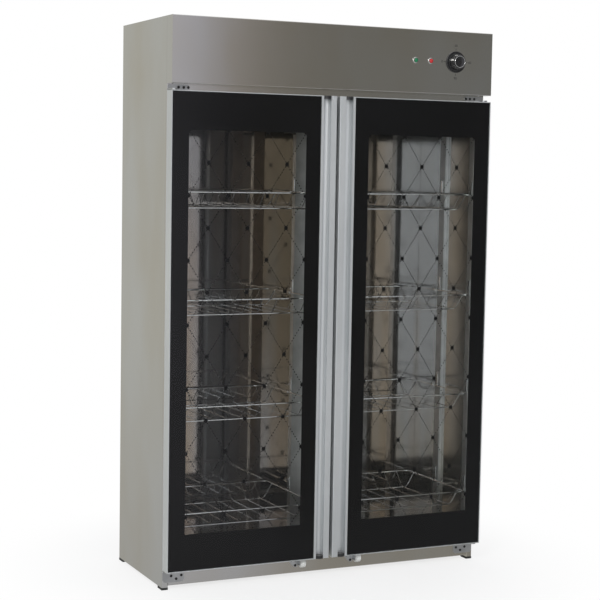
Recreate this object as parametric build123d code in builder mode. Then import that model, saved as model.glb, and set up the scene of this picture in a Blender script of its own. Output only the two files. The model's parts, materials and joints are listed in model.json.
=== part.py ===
from build123d import *
import math
import os

# Two-door dish sterilizer cabinet, in millimetres. X runs to the right, Y to the back, Z up.
# The origin is on the floor, under the middle of the box from the knob's nose to the gland's end.

os.makedirs("parts", exist_ok=True)

# Cabinet body
cabinet_width = 1200.0
cabinet_depth = 495.0
cabinet_height = 1895.0
sheet = 1.2
fold_radius = 2.5
post_face = 22.0
post_lip = 18.0
rear_return = 20.0
pad_height = 8.0
pad_length = 40.0
floor_z = 100.0
floor_flange = 20.0
rail_bottom = 14.0
rail_return = 25.0
top_rail_drop = 270.0
top_rail_height = 75.0
header_height = 218.0
top_flange = 15.0
touch = 0.1  # slip fit between pieces of one body
moving_gap = 0.3  # gap between faces that move past each other
running = 0.05  # radial clearance of a turning fit

# Doors
door_bottom = 69.0
door_top_drop = 22.0
door_thickness = 45.0
door_gap = 5.0
centre_gap = 12.0
glass = 4.0
frame_bar = 38.0
frame_wall = 2.0
lip_wall = 2.5
handle_width = 58.0
handle_backing = 30.0
channel_edge = 8.5
channel_width = 30.5
channel_straight = 10.0
finger_lip = 3.0
finger_lip_thickness = 2.5
rib_groove = 1.4
rib_depth = 0.8
rib_pitch = 4.5
rib_count = 3
cap_height = 10.0
seal_width = 10.0
seal_inset = 12.0

# Door pivots
pivot_inset = 15.0
pivot_depth = 22.0
pin_radius = 4.0
bush_wall = 2.5
bush_length = 12.0
bush_proud = 1.5
bush_sides = 12
arm_thickness = 4.0
arm_radius = 12.0
plate_thickness = 3.0
plate_length = 76.0
plate_corner = 8.0
plate_margin = 3.0
lower_plate_height = 42.0
upper_plate_height = 18.0
screw_head_radius = 4.5
screw_head = 2.4
screw_sides = 6
lower_screw_places = ((32.0, 1.0), (50.0, -10.0), (68.0, 1.0))
upper_screw_insets = (40.0, 58.0, 74.0)

# Door support wheels
wheel_places = (-94.0, 119.0)
wheel_width = 18.0
wheel_radius = 16.0
wheel_round = 1.5
wheel_sides = 32
wheel_depth = 30.0
axle_radius = 3.0
axle_head_radius = 5.0
axle_head = 1.5
ear_thickness = 2.5
ear_radius = 8.0
wheel_plate_length = 30.0
wheel_plate_height = 30.0
wheel_plate_top = 12.0
wheel_plate_margin = 6.0

# Header fittings
knob_inset = 148.0
dial_drop = 106.0
knob_reach = 31.0
knob_skirt_radius = 37.0
knob_skirt = 5.0
knob_grip_radius = 28.0
knob_nose_radius = 23.0
knob_recess_radius = 9.0
knob_recess = 6.0
knob_bore = 22.0
knob_sides = 36
ring_radius = 20.5
ring_width = 1.6
ring_depth = 1.0
shaft_radius = 3.0
timer_size = 46.0
timer_depth = 32.0
bushing_radius = 5.0
bushing_reach = 4.0
lamp_insets = (308.0, 248.0)
bezel_radius = 11.0
bezel_sides = 24
bezel_height = 4.0
lens_radius = 7.0
lens_sides = 12
lens_height = 7.0
lens_round = 3.0
lamp_length = 28.0

# Dish racks
rack_levels = 4
first_rim = 250.0
top_clearance = 299.2
rack_clearance = 10.0
rim_front = 55.0
rim_back = 480.0
rim_corner = 14.0
rim_wire = 5.0
rack_drop = 50.0
trough_front = 102.0
trough_back = 433.0
end_slope = 33.0
cross_wire = 3.0
cross_end = 52.0
cross_count = 9
long_wire = 4.0

# Rack posts and hooks
post_width = 40.0
post_projection = 12.0
centre_post_width = 44.0
centre_post_depth = 25.0
post_rows = (95.0, 305.0)
slot_width = 9.0
slot_height = 3.0
hook_strip = 2.0
hook_width = 8.0
hook_rise = 50.0
hook_tab = 3.0
hook_tip = 5.0

# Heater, sterilizing lamp, sensor and gland
heater_radius = 5.0
heater_sides = 6
heater_inset = 150.0
heater_rows = (170.0, 250.0)
heater_z = 58.0
heater_bracket_inset = 90.0
heater_bracket_width = 16.0
floor_slot_length = 60.0
floor_slot_width = 5.0
floor_slot_pitch = 90.0
floor_slot_columns = 7
lamp_tube_depth = 270.0
lamp_tube_radius = 8.0
lamp_tube_length = 430.0
lamp_tube_drop = 32.0
lamp_holder_width = 14.0
lamp_holder_depth = 30.0
sensor_radius = 4.0
sensor_length = 40.0
sensor_drop = 89.2
gland_inset = 150.0
gland_drop = 175.0
gland_radius = 11.0
gland_sides = 18
gland_bore = 5.0
gland_reach = 12.0
gland_nut = 6.0
nut_sides = 6
vent_width = 60.0
vent_height = 5.0
vent_pitch_x = 90.0
vent_pitch_z = 14.0
vent_columns = 3
vent_rows = 3
vent_drop = 115.0

# Places that follow from the sizes above
half_width = cabinet_width / 2
face_y = -(cabinet_depth + gland_reach - knob_reach) / 2
body_y = face_y + door_thickness + door_gap
back_y = face_y + cabinet_depth
back_inner_y = back_y - 2 * sheet
side_inner_x = half_width - sheet
back_half_width = half_width - fold_radius
lip_x = half_width - post_face
skin_top = cabinet_height - sheet
floor_top = floor_z + sheet
top_rail_bottom = cabinet_height - top_rail_drop
ceiling_z = top_rail_bottom + sheet
header_bottom = cabinet_height - header_height
door_top = header_bottom - door_top_drop
door_height = door_top - door_bottom
door_width = half_width - centre_gap / 2
glass_width = door_width - handle_width
pivot_x = half_width - pivot_inset
pivot_y = face_y + pivot_depth
lower_arm_z = door_bottom - bush_proud - moving_gap - arm_thickness
upper_arm_z = door_top + bush_proud + moving_gap
bush_radius = pin_radius + running + bush_wall
bush_hole = bush_radius + touch
plate_centre = half_width - plate_margin - plate_length / 2
lower_plate_z = lower_arm_z + arm_thickness - lower_plate_height / 2
upper_plate_z = upper_arm_z + upper_plate_height / 2
lower_screws = [(half_width - inset, lower_plate_z + rise) for inset, rise in lower_screw_places]
upper_screws = [(half_width - inset, upper_plate_z) for inset in upper_screw_insets]
wheel_z = door_bottom - moving_gap - wheel_radius
wheel_y = face_y + wheel_depth
rim_pitch = (top_rail_bottom - top_clearance - first_rim) / (rack_levels - 1)
rims = [first_rim + level * rim_pitch for level in range(rack_levels)]
hook_bottoms = [rim - rim_wire / 2 - moving_gap - hook_strip for rim in rims]
post_height = ceiling_z - floor_top
wall_post_x = side_inner_x - post_projection
centre_post_x = centre_post_width / 2
rack_x = half_width / 2
rim_half_length = rack_x - centre_post_x - rack_clearance
cross_pitch = 2 * (rim_half_length - cross_end) / (cross_count - 1)
knob_x = half_width - knob_inset
lamp_x = [half_width - inset for inset in lamp_insets]
dial_z = cabinet_height - dial_drop
sensor_z = ceiling_z - sensor_drop
gland_x = half_width - gland_inset
gland_z = cabinet_height - gland_drop
vent_z = cabinet_height - vent_drop


def facing(y):
    """Upright plane at depth y, seen from the front: its own axes are X and Z."""
    return Plane.XZ.offset(-y)


def span(x0, x1, y0, y1, mode=Mode.ADD):
    """Rectangle between two corners, in the current sketch."""
    with Locations(((x0 + x1) / 2, (y0 + y1) / 2)):
        Rectangle(abs(x1 - x0), abs(y1 - y0), mode=mode)


def fold(plane, *points):
    """Section of a folded sheet that turns right along its outer line."""
    with BuildSketch(plane) as section:
        with BuildLine():
            FilletPolyline(*points, radius=fold_radius)
            offset(amount=sheet, side=Side.RIGHT)
        make_face()
    return section.sketch


def slots(plane, centres, length, height):
    """Rectangular slots at the given places of one plane."""
    with BuildSketch(plane) as holes:
        with Locations(*centres):
            Rectangle(length, height)
    return holes.sketch


def discs(plane, centres, radius):
    """Round outlines at the given places of one plane."""
    with BuildSketch(plane) as holes:
        with Locations(*centres):
            Circle(radius)
    return holes.sketch


def facets(plane, centres, radius, sides):
    """Round outlines drawn with flat sides, for small pieces that repeat or have many rings."""
    with BuildSketch(plane) as outline:
        with Locations(*centres):
            RegularPolygon(radius, sides)
    return outline.sketch


def rod(points, diameter, closed=False):
    """Square wire through the given points, mitred at its bends."""
    with BuildLine() as path:
        Polyline(*points, close=closed)
    heading = path.line % 0
    upright = Plane(origin=path.line @ 0, x_dir=heading.cross(Vector(0, 0, 1)), z_dir=heading)
    with BuildSketch(upright) as section:
        Rectangle(diameter, diameter)
    return sweep(section.sketch, path=path.line, transition=Transition.RIGHT)


def save(piece, name):
    """Label one finished piece and write it to its own file."""
    piece.label = name
    export_step(piece, f"parts/{name}.step")


def save_pair(name, left):
    """Write a left piece and its mirror image on the right."""
    save(left, f"left_{name}")
    save(mirror(left, about=Plane.YZ), f"right_{name}")


# ---------------------------------------------------------------- cabinet body

with BuildPart() as side_panel:
    extrude(
        fold(
            Plane.XY.offset(pad_height),
            (-lip_x, body_y + post_lip),
            (-lip_x, body_y),
            (-half_width, body_y),
            (-half_width, back_y),
            (-half_width + rear_return, back_y),
        ),
        amount=skin_top - pad_height,
    )
save_pair("side_panel", side_panel.part)

vent_places = [
    (gap * vent_pitch_x, vent_z + row * vent_pitch_z)
    for gap in [column - (vent_columns - 1) / 2 for column in range(vent_columns)]
    for row in range(vent_rows)
]
with BuildPart() as back_panel:
    with BuildSketch(facing(back_inner_y)):
        span(-back_half_width, back_half_width, rail_bottom, skin_top)
    extrude(amount=-sheet)
    extrude(slots(facing(back_inner_y), vent_places, vent_width, vent_height), amount=-sheet,
            mode=Mode.SUBTRACT)
    extrude(discs(facing(back_inner_y), [(gland_x, gland_z)], gland_radius - gland_nut / 2 + touch),
            amount=-sheet, mode=Mode.SUBTRACT)
save(back_panel.part, "back_panel")

with BuildPart() as top_panel:
    with BuildSketch(Plane.XY.offset(skin_top)):
        span(-half_width, half_width, body_y, back_y)
    extrude(amount=sheet)
    with BuildSketch(Plane.XY.offset(skin_top)):
        for side in (-1, 1):
            span(side * side_inner_x, side * (side_inner_x - sheet), body_y + post_lip,
                 back_inner_y)
    extrude(amount=-top_flange)
save(top_panel.part, "top_panel")

with BuildPart() as header_panel:
    extrude(
        fold(
            Plane.YZ.offset(-half_width),
            (body_y, header_bottom),
            (face_y, header_bottom),
            (face_y, cabinet_height),
            (body_y, cabinet_height),
        ),
        amount=cabinet_width,
    )
    for end in (-half_width, half_width - sheet):
        with BuildSketch(Plane.YZ.offset(end)) as cheek:
            span(face_y, body_y, header_bottom, cabinet_height)
            fillet(cheek.vertices().group_by(Axis.X)[0], radius=fold_radius)
        extrude(amount=sheet)
    extrude(discs(facing(face_y), [(knob_x, dial_z)], bushing_radius + touch), amount=-sheet,
            mode=Mode.SUBTRACT)
    lamp_holes = facets(facing(face_y), [(x, dial_z) for x in lamp_x], lens_radius + touch,
                        lens_sides)
    extrude(lamp_holes, amount=-sheet, mode=Mode.SUBTRACT)
save(header_panel.part, "header_panel")


def rail(bottom, height):
    """Channel that joins the side panels at the front, open to the back."""
    return fold(
        Plane.YZ.offset(-lip_x),
        (body_y + rail_return, bottom),
        (body_y, bottom),
        (body_y, bottom + height),
        (body_y + rail_return, bottom + height),
    )


def wheel_plate_corners(x):
    """Corners of the plate of one wheel bracket, whose lower left one is cut off."""
    right = x - wheel_width / 2 - moving_gap
    left = right - wheel_plate_length
    top = wheel_z + wheel_plate_top
    return (
        (left, top),
        (right, top),
        (right, top - wheel_plate_height),
        (right - 2 * wheel_plate_margin, top - wheel_plate_height),
        (left, top - 2 * wheel_plate_margin),
    )


def wheel_plate_screws(x):
    """Places of the three screws of one wheel bracket."""
    right = x - wheel_width / 2 - moving_gap - ear_thickness - wheel_plate_margin
    left = right + 2 * wheel_plate_margin + ear_thickness - wheel_plate_length
    top = wheel_z + wheel_plate_top - wheel_plate_margin
    bottom = wheel_z + wheel_plate_top - wheel_plate_height + wheel_plate_margin
    return (left, top), (right, top), (right, bottom)


wheel_screws = [place for x in wheel_places for place in wheel_plate_screws(x)]
both_lower_screws = [(side * x, z) for side in (-1, 1) for x, z in lower_screws]
both_upper_screws = [(side * x, z) for side in (-1, 1) for x, z in upper_screws]

with BuildPart() as bottom_rail:
    extrude(rail(rail_bottom, floor_z - rail_bottom), amount=2 * lip_x)
save(bottom_rail.part, "bottom_rail")

with BuildPart() as top_rail:
    extrude(rail(top_rail_bottom, top_rail_height), amount=2 * lip_x)
save(top_rail.part, "top_rail")


def shelf_outline():
    """Outline of the floor and ceiling sheets, notched round the front posts."""
    span(-side_inner_x, side_inner_x, body_y + fold_radius, back_inner_y)
    for side in (-1, 1):
        span(side * (lip_x - sheet), side * half_width, body_y, body_y + post_lip,
             mode=Mode.SUBTRACT)


with BuildPart() as chamber_floor:
    with BuildSketch(Plane.XY.offset(floor_z)):
        shelf_outline()
    extrude(amount=sheet)
    with BuildSketch(Plane.XY.offset(floor_z)):
        span(-side_inner_x, side_inner_x, back_inner_y - sheet, back_inner_y)
        for side in (-1, 1):
            span(side * side_inner_x, side * (side_inner_x - sheet), body_y + post_lip,
                 back_inner_y)
    extrude(amount=-floor_flange)
    with BuildSketch(Plane.XY.offset(floor_z)):
        with Locations((0, face_y + sum(heater_rows) / len(heater_rows))):
            with GridLocations(floor_slot_pitch, heater_rows[1] - heater_rows[0],
                               floor_slot_columns, len(heater_rows)):
                Rectangle(floor_slot_length, floor_slot_width)
    extrude(amount=sheet, mode=Mode.SUBTRACT)
save(chamber_floor.part, "chamber_floor")

with BuildPart() as chamber_ceiling:
    with BuildSketch(Plane.XY.offset(ceiling_z)):
        shelf_outline()
    extrude(amount=sheet)
save(chamber_ceiling.part, "chamber_ceiling")

with BuildPart() as foot_pads:
    with BuildSketch(Plane.XY):
        for side in (-1, 1):
            span(side * lip_x, side * half_width, body_y, body_y + pad_length)
            span(side * lip_x, side * half_width, back_y - pad_length, back_y)
    extrude(amount=pad_height)
save(foot_pads.part, "foot_pads")

# ---------------------------------------------------------------- rack posts and hooks

slot_heights = [bottom + hook_strip / 2 + hook_rise for bottom in hook_bottoms]


def wall_post(row):
    """Slotted channel on the left wall, its open side against the panel."""
    y = face_y + row
    with BuildPart() as post:
        extrude(
            fold(
                Plane.XY.offset(floor_top),
                (-side_inner_x, y + post_width / 2),
                (-wall_post_x, y + post_width / 2),
                (-wall_post_x, y - post_width / 2),
                (-side_inner_x, y - post_width / 2),
            ),
            amount=post_height,
        )
        extrude(
            slots(Plane.YZ.offset(-wall_post_x), [(y, z) for z in slot_heights], slot_width,
                  slot_height),
            amount=-sheet,
            mode=Mode.SUBTRACT,
        )
    return post.part


def centre_post(row):
    """Slotted square tube that stands free between the racks."""
    y = face_y + row
    with BuildPart() as post:
        with BuildSketch(Plane.XY.offset(floor_top)):
            with Locations((0, y)):
                Rectangle(centre_post_width, centre_post_depth)
                Rectangle(centre_post_width - 2 * sheet, centre_post_depth - 2 * sheet,
                          mode=Mode.SUBTRACT)
        extrude(amount=post_height)
        extrude(
            slots(Plane.YZ, [(y, z) for z in slot_heights], slot_width, slot_height),
            amount=centre_post_width,
            both=True,
            mode=Mode.SUBTRACT,
        )
    return post.part


save_pair("wall_posts", Compound([wall_post(row) for row in post_rows]))
save(Compound([centre_post(row) for row in post_rows]), "centre_posts")


def hook(face, rim_x, bottom, row):
    """Bent strip hook: a tab in the post's slot, a leg down its face and a turned-up toe."""
    way = 1 if rim_x > face else -1
    toe = rim_x + way * (rim_wire / 2 + moving_gap + hook_strip)
    top = bottom + hook_strip + hook_rise
    thick = way * hook_strip
    with BuildPart() as strip:
        with BuildSketch(facing(face_y + row - hook_width / 2)):
            with BuildLine():
                Polyline(
                    (face - way * hook_tab, top),
                    (face + thick, top),
                    (face + thick, bottom + hook_strip),
                    (toe - thick, bottom + hook_strip),
                    (toe - thick, bottom + rim_wire + hook_tip),
                    (toe, bottom + rim_wire + hook_tip),
                    (toe, bottom),
                    (face, bottom),
                    (face, top - hook_strip),
                    (face - way * hook_tab, top - hook_strip),
                    close=True,
                )
            make_face()
        extrude(amount=-hook_width)
    return strip.part


rim_outer = rack_x + rim_half_length
rim_inner = rack_x - rim_half_length
hook_seats = ((wall_post_x, rim_outer), (centre_post_x, rim_inner))
rack_hooks = [
    hook(side * face, side * rim_x, bottom, row)
    for face, rim_x in hook_seats
    for side in (-1, 1)
    for bottom in hook_bottoms
    for row in post_rows
]
save(Compound(rack_hooks), "rack_hooks")

# ---------------------------------------------------------------- wire racks

cross_places = [(index - (cross_count - 1) / 2) * cross_pitch for index in range(cross_count)]


def rack(x, rim):
    """Trough rack of one level: rim loop, cross wires and the two long wires under them."""
    front = face_y + rim_front
    back = face_y + rim_back
    low = rim - rack_drop
    under = low - (cross_wire + long_wire) / 2 - touch
    with BuildPart() as basket:
        left = x - rim_half_length
        right = x + rim_half_length
        rod(
            [
                (left + rim_corner, front, rim),
                (right - rim_corner, front, rim),
                (right, front + rim_corner, rim),
                (right, back - rim_corner, rim),
                (right - rim_corner, back, rim),
                (left + rim_corner, back, rim),
                (left, back - rim_corner, rim),
                (left, front + rim_corner, rim),
            ],
            rim_wire,
            closed=True,
        )
        for offset_x in cross_places:
            rod(
                [
                    (x + offset_x, front, rim),
                    (x + offset_x, face_y + trough_front, low),
                    (x + offset_x, face_y + trough_back, low),
                    (x + offset_x, back, rim),
                ],
                cross_wire,
            )
        for trough in (trough_front, trough_back):
            y = face_y + trough
            rod(
                [
                    (left, y, rim),
                    (left + end_slope, y, under),
                    (right - end_slope, y, under),
                    (right, y, rim),
                ],
                long_wire,
            )
    return basket.part


for level, rim in enumerate(rims, start=1):
    for side_name, side in (("left", -1), ("right", 1)):
        save(rack(side * rack_x, rim), f"{side_name}_rack_{level}")

# ---------------------------------------------------------------- left door, mirrored for the right

door_x = -half_width
glass_edge = door_x + glass_width
backing_x = glass_edge - handle_backing
door_end = door_x + door_width
bar_depth = door_thickness - glass

with BuildPart() as door_frame:
    with BuildSketch(facing(face_y + glass)):
        span(door_x, backing_x, door_bottom, door_top)
        span(door_x + frame_bar, backing_x, door_bottom + frame_bar, door_top - frame_bar,
             mode=Mode.SUBTRACT)
    extrude(amount=-bar_depth)
    with BuildSketch(facing(face_y + glass + frame_wall)):
        span(door_x + frame_wall, backing_x, door_bottom + frame_wall, door_top - frame_wall)
        span(door_x + frame_bar - frame_wall, backing_x, door_bottom + frame_bar - frame_wall,
             door_top - frame_bar + frame_wall, mode=Mode.SUBTRACT)
    extrude(amount=-(bar_depth - 2 * frame_wall), mode=Mode.SUBTRACT)
    with BuildSketch(facing(face_y)):
        span(door_x, glass_edge, door_bottom, door_top)
        span(door_x + lip_wall, glass_edge, door_bottom + lip_wall, door_top - lip_wall,
             mode=Mode.SUBTRACT)
    extrude(amount=-glass)
    for bottom in (door_bottom, door_top - frame_wall):
        extrude(discs(Plane.XY.offset(bottom), [(-pivot_x, pivot_y)], bush_hole),
                amount=frame_wall, mode=Mode.SUBTRACT)
save_pair("door_frame", door_frame.part)

with BuildPart() as door_glass:
    with BuildSketch(facing(face_y)):
        span(door_x + lip_wall, glass_edge, door_bottom + lip_wall, door_top - lip_wall)
    extrude(amount=-glass)
save_pair("door_glass", door_glass.part)

channel_left = glass_edge + channel_edge
channel_radius = channel_width / 2
channel_centre = (channel_left + channel_radius, face_y + channel_straight)
channel_right = channel_left + channel_width
behind_channel = face_y + channel_straight + channel_radius + finger_lip_thickness
ribs_x = (channel_right - finger_lip + door_end) / 2


def channel_outline(clearance=0.0):
    """Finger channel of the handle in plan, drawn smaller by a clearance."""
    with Locations(channel_centre):
        Circle(channel_radius - clearance)
    span(channel_left + clearance, channel_right - clearance,
         face_y + clearance + finger_lip_thickness, face_y + channel_straight)


with BuildPart() as door_handle:
    with BuildSketch(Plane.XY.offset(door_bottom)) as profile:
        span(backing_x, door_end, face_y + glass, face_y + door_thickness)
        span(glass_edge, door_end, face_y, face_y + glass)
        fillet(profile.vertices().group_by(Axis.X)[-1], radius=frame_wall)
        with BuildSketch(mode=Mode.SUBTRACT):
            channel_outline()
        span(channel_left, channel_right - finger_lip, face_y, face_y + channel_straight,
             mode=Mode.SUBTRACT)
        span(backing_x + frame_wall, glass_edge - frame_wall, face_y + glass + frame_wall,
             face_y + door_thickness - frame_wall, mode=Mode.SUBTRACT)
        span(glass_edge + frame_wall, door_end - frame_wall, behind_channel,
             face_y + door_thickness - frame_wall, mode=Mode.SUBTRACT)
        span(channel_right + frame_wall, door_end - frame_wall,
             face_y + rib_depth + frame_wall, behind_channel - frame_wall, mode=Mode.SUBTRACT)
        with Locations((ribs_x, face_y)):
            with GridLocations(rib_pitch, 0, rib_count, 1):
                Rectangle(rib_groove, 2 * rib_depth, mode=Mode.SUBTRACT)
    extrude(amount=door_height)
save_pair("door_handle", door_handle.part)

with BuildPart() as handle_caps:
    for bottom in (door_bottom, door_top - cap_height):
        with BuildSketch(Plane.XY.offset(bottom)):
            channel_outline(touch)
        extrude(amount=cap_height)
save_pair("handle_caps", handle_caps.part)

with BuildPart() as door_seal:
    with BuildSketch(facing(face_y + door_thickness)):
        span(door_x + seal_inset, door_end - seal_inset, door_bottom + seal_inset,
             door_top - seal_inset)
        span(door_x + seal_inset + seal_width, door_end - seal_inset - seal_width,
             door_bottom + seal_inset + seal_width, door_top - seal_inset - seal_width,
             mode=Mode.SUBTRACT)
    extrude(amount=-(door_gap - moving_gap))
save_pair("door_seal", door_seal.part)

with BuildPart() as door_bushes:
    for z, inward in ((door_bottom - bush_proud, 1), (door_top + bush_proud, -1)):
        with BuildSketch(Plane.XY.offset(z)):
            with Locations((-pivot_x, pivot_y)):
                RegularPolygon(bush_radius, bush_sides)
                Circle(pin_radius + running, mode=Mode.SUBTRACT)
        extrude(amount=inward * (bush_proud + bush_length))
save_pair("door_bushes", door_bushes.part)

# ---------------------------------------------------------------- hinge brackets and door wheels


def hinge_bracket(arm_z, inward, plate_z, plate_height):
    """Left bracket: a plate on the body and an arm with the pivot pin welded in it."""
    with BuildPart() as bracket:
        with BuildSketch(facing(body_y - plate_thickness)) as plate:
            with Locations((-plate_centre, plate_z)):
                Rectangle(plate_length, plate_height)
            chamfer(plate.vertices(), length=min(plate_corner, plate_height / 3))
        extrude(amount=-plate_thickness)
        with BuildSketch(Plane.XY.offset(arm_z)):
            with Locations((-pivot_x, pivot_y)):
                Circle(arm_radius)
            span(-pivot_x - arm_radius, -pivot_x + arm_radius, pivot_y, body_y)
        extrude(amount=arm_thickness)
        middle = arm_z + arm_thickness / 2
        extrude(discs(Plane.XY.offset(middle), [(-pivot_x, pivot_y)], pin_radius),
                amount=inward * pin_reach)
    return bracket.part


pin_reach = arm_thickness / 2 + moving_gap + bush_proud + bush_length - frame_wall
lower_hinge = hinge_bracket(lower_arm_z, 1, lower_plate_z, lower_plate_height)
upper_hinge = hinge_bracket(upper_arm_z, -1, upper_plate_z, upper_plate_height)
save(Compound([lower_hinge, mirror(lower_hinge, about=Plane.YZ)]), "lower_hinges")
save(Compound([upper_hinge, mirror(upper_hinge, about=Plane.YZ)]), "upper_hinges")


def screws_at(places, thickness):
    """Low heads of the screws that hold a plate of this thickness on the body's front."""
    with BuildPart() as group:
        with BuildSketch(facing(body_y - thickness)):
            with Locations(*places):
                RegularPolygon(screw_head_radius, screw_sides)
        extrude(amount=screw_head)
    return group.part


hinge_screws = screws_at(both_lower_screws + both_upper_screws, plate_thickness)
save(Compound([hinge_screws, screws_at(wheel_screws, ear_thickness)]), "bracket_screws")


def wheel_bracket(x):
    """Three-cornered plate with an ear and a riveted axle for one door wheel."""
    ear_x = x - wheel_width / 2 - moving_gap - ear_thickness
    with BuildPart() as bracket:
        with BuildSketch(facing(body_y - ear_thickness)):
            with BuildLine():
                Polyline(*wheel_plate_corners(x), close=True)
            make_face()
        extrude(amount=-ear_thickness)
        with BuildSketch(Plane.YZ.offset(ear_x)):
            with Locations((wheel_y, wheel_z)):
                Circle(ear_radius)
            span(wheel_y, body_y, wheel_z - ear_radius, wheel_z + ear_radius)
        extrude(amount=ear_thickness)
        axle_length = ear_thickness + wheel_width + 2 * moving_gap
        extrude(discs(Plane.YZ.offset(ear_x), [(wheel_y, wheel_z)], axle_radius),
                amount=axle_length)
        extrude(discs(Plane.YZ.offset(ear_x + axle_length), [(wheel_y, wheel_z)],
                      axle_head_radius), amount=axle_head)
    return bracket.part


def door_wheel(x):
    """Nylon wheel that carries the free end of one closed door."""
    with BuildPart() as wheel:
        rim = facets(Plane.YZ.offset(x - wheel_width / 2), [(wheel_y, wheel_z)], wheel_radius,
                     wheel_sides)
        extrude(rim, amount=wheel_width)
        chamfer(wheel.faces().filter_by(Axis.X).edges(), length=wheel_round)
        extrude(discs(Plane.YZ.offset(x - wheel_width / 2), [(wheel_y, wheel_z)],
                      axle_radius + running), amount=wheel_width, mode=Mode.SUBTRACT)
    return wheel.part


save(Compound([wheel_bracket(x) for x in wheel_places]), "wheel_brackets")
for side_name, x in zip(("left", "right"), wheel_places):
    save(door_wheel(x), f"{side_name}_door_wheel")

# ---------------------------------------------------------------- timer and lamps on the header

dial = [(knob_x, dial_z)]
nose = knob_reach - ring_depth
with BuildPart() as timer_knob:
    skirt = facets(facing(face_y - moving_gap), dial, knob_skirt_radius, knob_sides)
    extrude(skirt, amount=knob_skirt - moving_gap)
    grip_depth = nose - knob_skirt
    grip = facets(facing(face_y - knob_skirt), dial, knob_grip_radius, knob_sides)
    extrude(grip, amount=grip_depth,
            taper=math.degrees(math.atan((knob_grip_radius - knob_nose_radius) / grip_depth)))
    extrude(discs(facing(face_y), dial, knob_recess_radius), amount=knob_recess,
            mode=Mode.SUBTRACT)
    extrude(discs(facing(face_y), dial, shaft_radius + touch), amount=knob_bore,
            mode=Mode.SUBTRACT)
save(timer_knob.part, "timer_knob")

with BuildPart() as knob_ring:
    with BuildSketch(facing(face_y - nose)):
        with Locations((knob_x, dial_z)):
            RegularPolygon(ring_radius, knob_sides)
            RegularPolygon(ring_radius - ring_width, knob_sides, mode=Mode.SUBTRACT)
    extrude(amount=ring_depth)
save(knob_ring.part, "knob_ring")

timer_face = face_y + sheet
with BuildPart() as timer_shaft:
    extrude(discs(facing(face_y - knob_bore), [(knob_x, dial_z)], shaft_radius),
            amount=-(knob_bore + sheet + timer_depth / 2))
save(timer_shaft.part, "timer_shaft")

with BuildPart() as timer_body:
    with BuildSketch(facing(timer_face)):
        with Locations((knob_x, dial_z)):
            Rectangle(timer_size, timer_size)
    extrude(amount=-timer_depth)
    extrude(discs(facing(timer_face), [(knob_x, dial_z)], bushing_radius),
            amount=sheet + bushing_reach)
    extrude(discs(facing(face_y - bushing_reach), [(knob_x, dial_z)], shaft_radius + running),
            amount=-(bushing_reach + sheet + timer_depth / 2 + moving_gap), mode=Mode.SUBTRACT)
save(timer_body.part, "timer_body")

lamp_places = [(x, dial_z) for x in lamp_x]
with BuildPart() as lamp_bezels:
    with BuildSketch(facing(face_y)):
        with Locations(*lamp_places):
            RegularPolygon(bezel_radius, bezel_sides)
            RegularPolygon(lens_radius + touch, lens_sides, mode=Mode.SUBTRACT)
    extrude(amount=bezel_height)
save(lamp_bezels.part, "lamp_bezels")

for lamp_name, place in zip(("green_lamp", "red_lamp"), lamp_places):
    with BuildPart() as lamp:
        lens = facets(facing(face_y - lens_height), [place], lens_radius, lens_sides)
        extrude(lens, amount=-(lens_height + lamp_length))
        chamfer(lamp.edges().group_by(Axis.Y)[0], length=lens_round)
    save(lamp.part, lamp_name)

# ---------------------------------------------------------------- heater, sterilizing lamp, sensor and gland

heater_half = half_width - heater_inset
heater_bracket_x = heater_half - heater_bracket_inset
heater_ys = [face_y + row for row in heater_rows]
with BuildPart() as heater_element:
    with BuildLine() as heater_path:
        FilletPolyline(
            (-heater_half, heater_ys[0], heater_z),
            (heater_half, heater_ys[0], heater_z),
            (heater_half, heater_ys[1], heater_z),
            (-heater_half, heater_ys[1], heater_z),
            radius=(heater_ys[1] - heater_ys[0]) / 2 - moving_gap,
        )
    with BuildSketch(Plane(origin=heater_path.line @ 0, z_dir=heater_path.line % 0)):
        RegularPolygon(heater_radius, heater_sides)
    sweep(path=heater_path.line)
save(heater_element.part, "heater_element")

with BuildPart() as heater_brackets:
    for x in (-heater_bracket_x, heater_bracket_x):
        with BuildSketch(Plane.YZ.offset(x)):
            span(heater_ys[0] - heater_bracket_width, heater_ys[1] + heater_bracket_width,
                 heater_z - heater_bracket_width, floor_z)
            for y in heater_ys:
                span(y - heater_radius - touch, y + heater_radius + touch,
                     heater_z - heater_bracket_width, heater_z + heater_radius + touch,
                     mode=Mode.SUBTRACT)
        extrude(amount=sheet)
        with BuildSketch(Plane.XY.offset(floor_z)):
            span(x, x + heater_bracket_width, heater_ys[0] - heater_bracket_width,
                 heater_ys[1] + heater_bracket_width)
        extrude(amount=-sheet)
save(heater_brackets.part, "heater_brackets")

tube_y = face_y + lamp_tube_depth
tube_z = ceiling_z - lamp_tube_drop
tube_ends = (rack_x - lamp_tube_length / 2, rack_x + lamp_tube_length / 2)
with BuildPart() as sterilizing_lamp:
    extrude(discs(Plane.YZ.offset(tube_ends[0]), [(tube_y, tube_z)], lamp_tube_radius),
            amount=lamp_tube_length)
save(sterilizing_lamp.part, "sterilizing_lamp")

with BuildPart() as lamp_holders:
    for end, outward in zip(tube_ends, (-1, 1)):
        with BuildSketch(Plane.YZ.offset(end)) as holder:
            span(tube_y - lamp_holder_depth / 2, tube_y + lamp_holder_depth / 2,
                 tube_z - lamp_holder_depth / 2, ceiling_z)
            fillet(holder.vertices().group_by(Axis.Y)[0], radius=lamp_tube_radius)
        extrude(amount=outward * lamp_holder_width)
save(lamp_holders.part, "lamp_holders")

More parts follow.
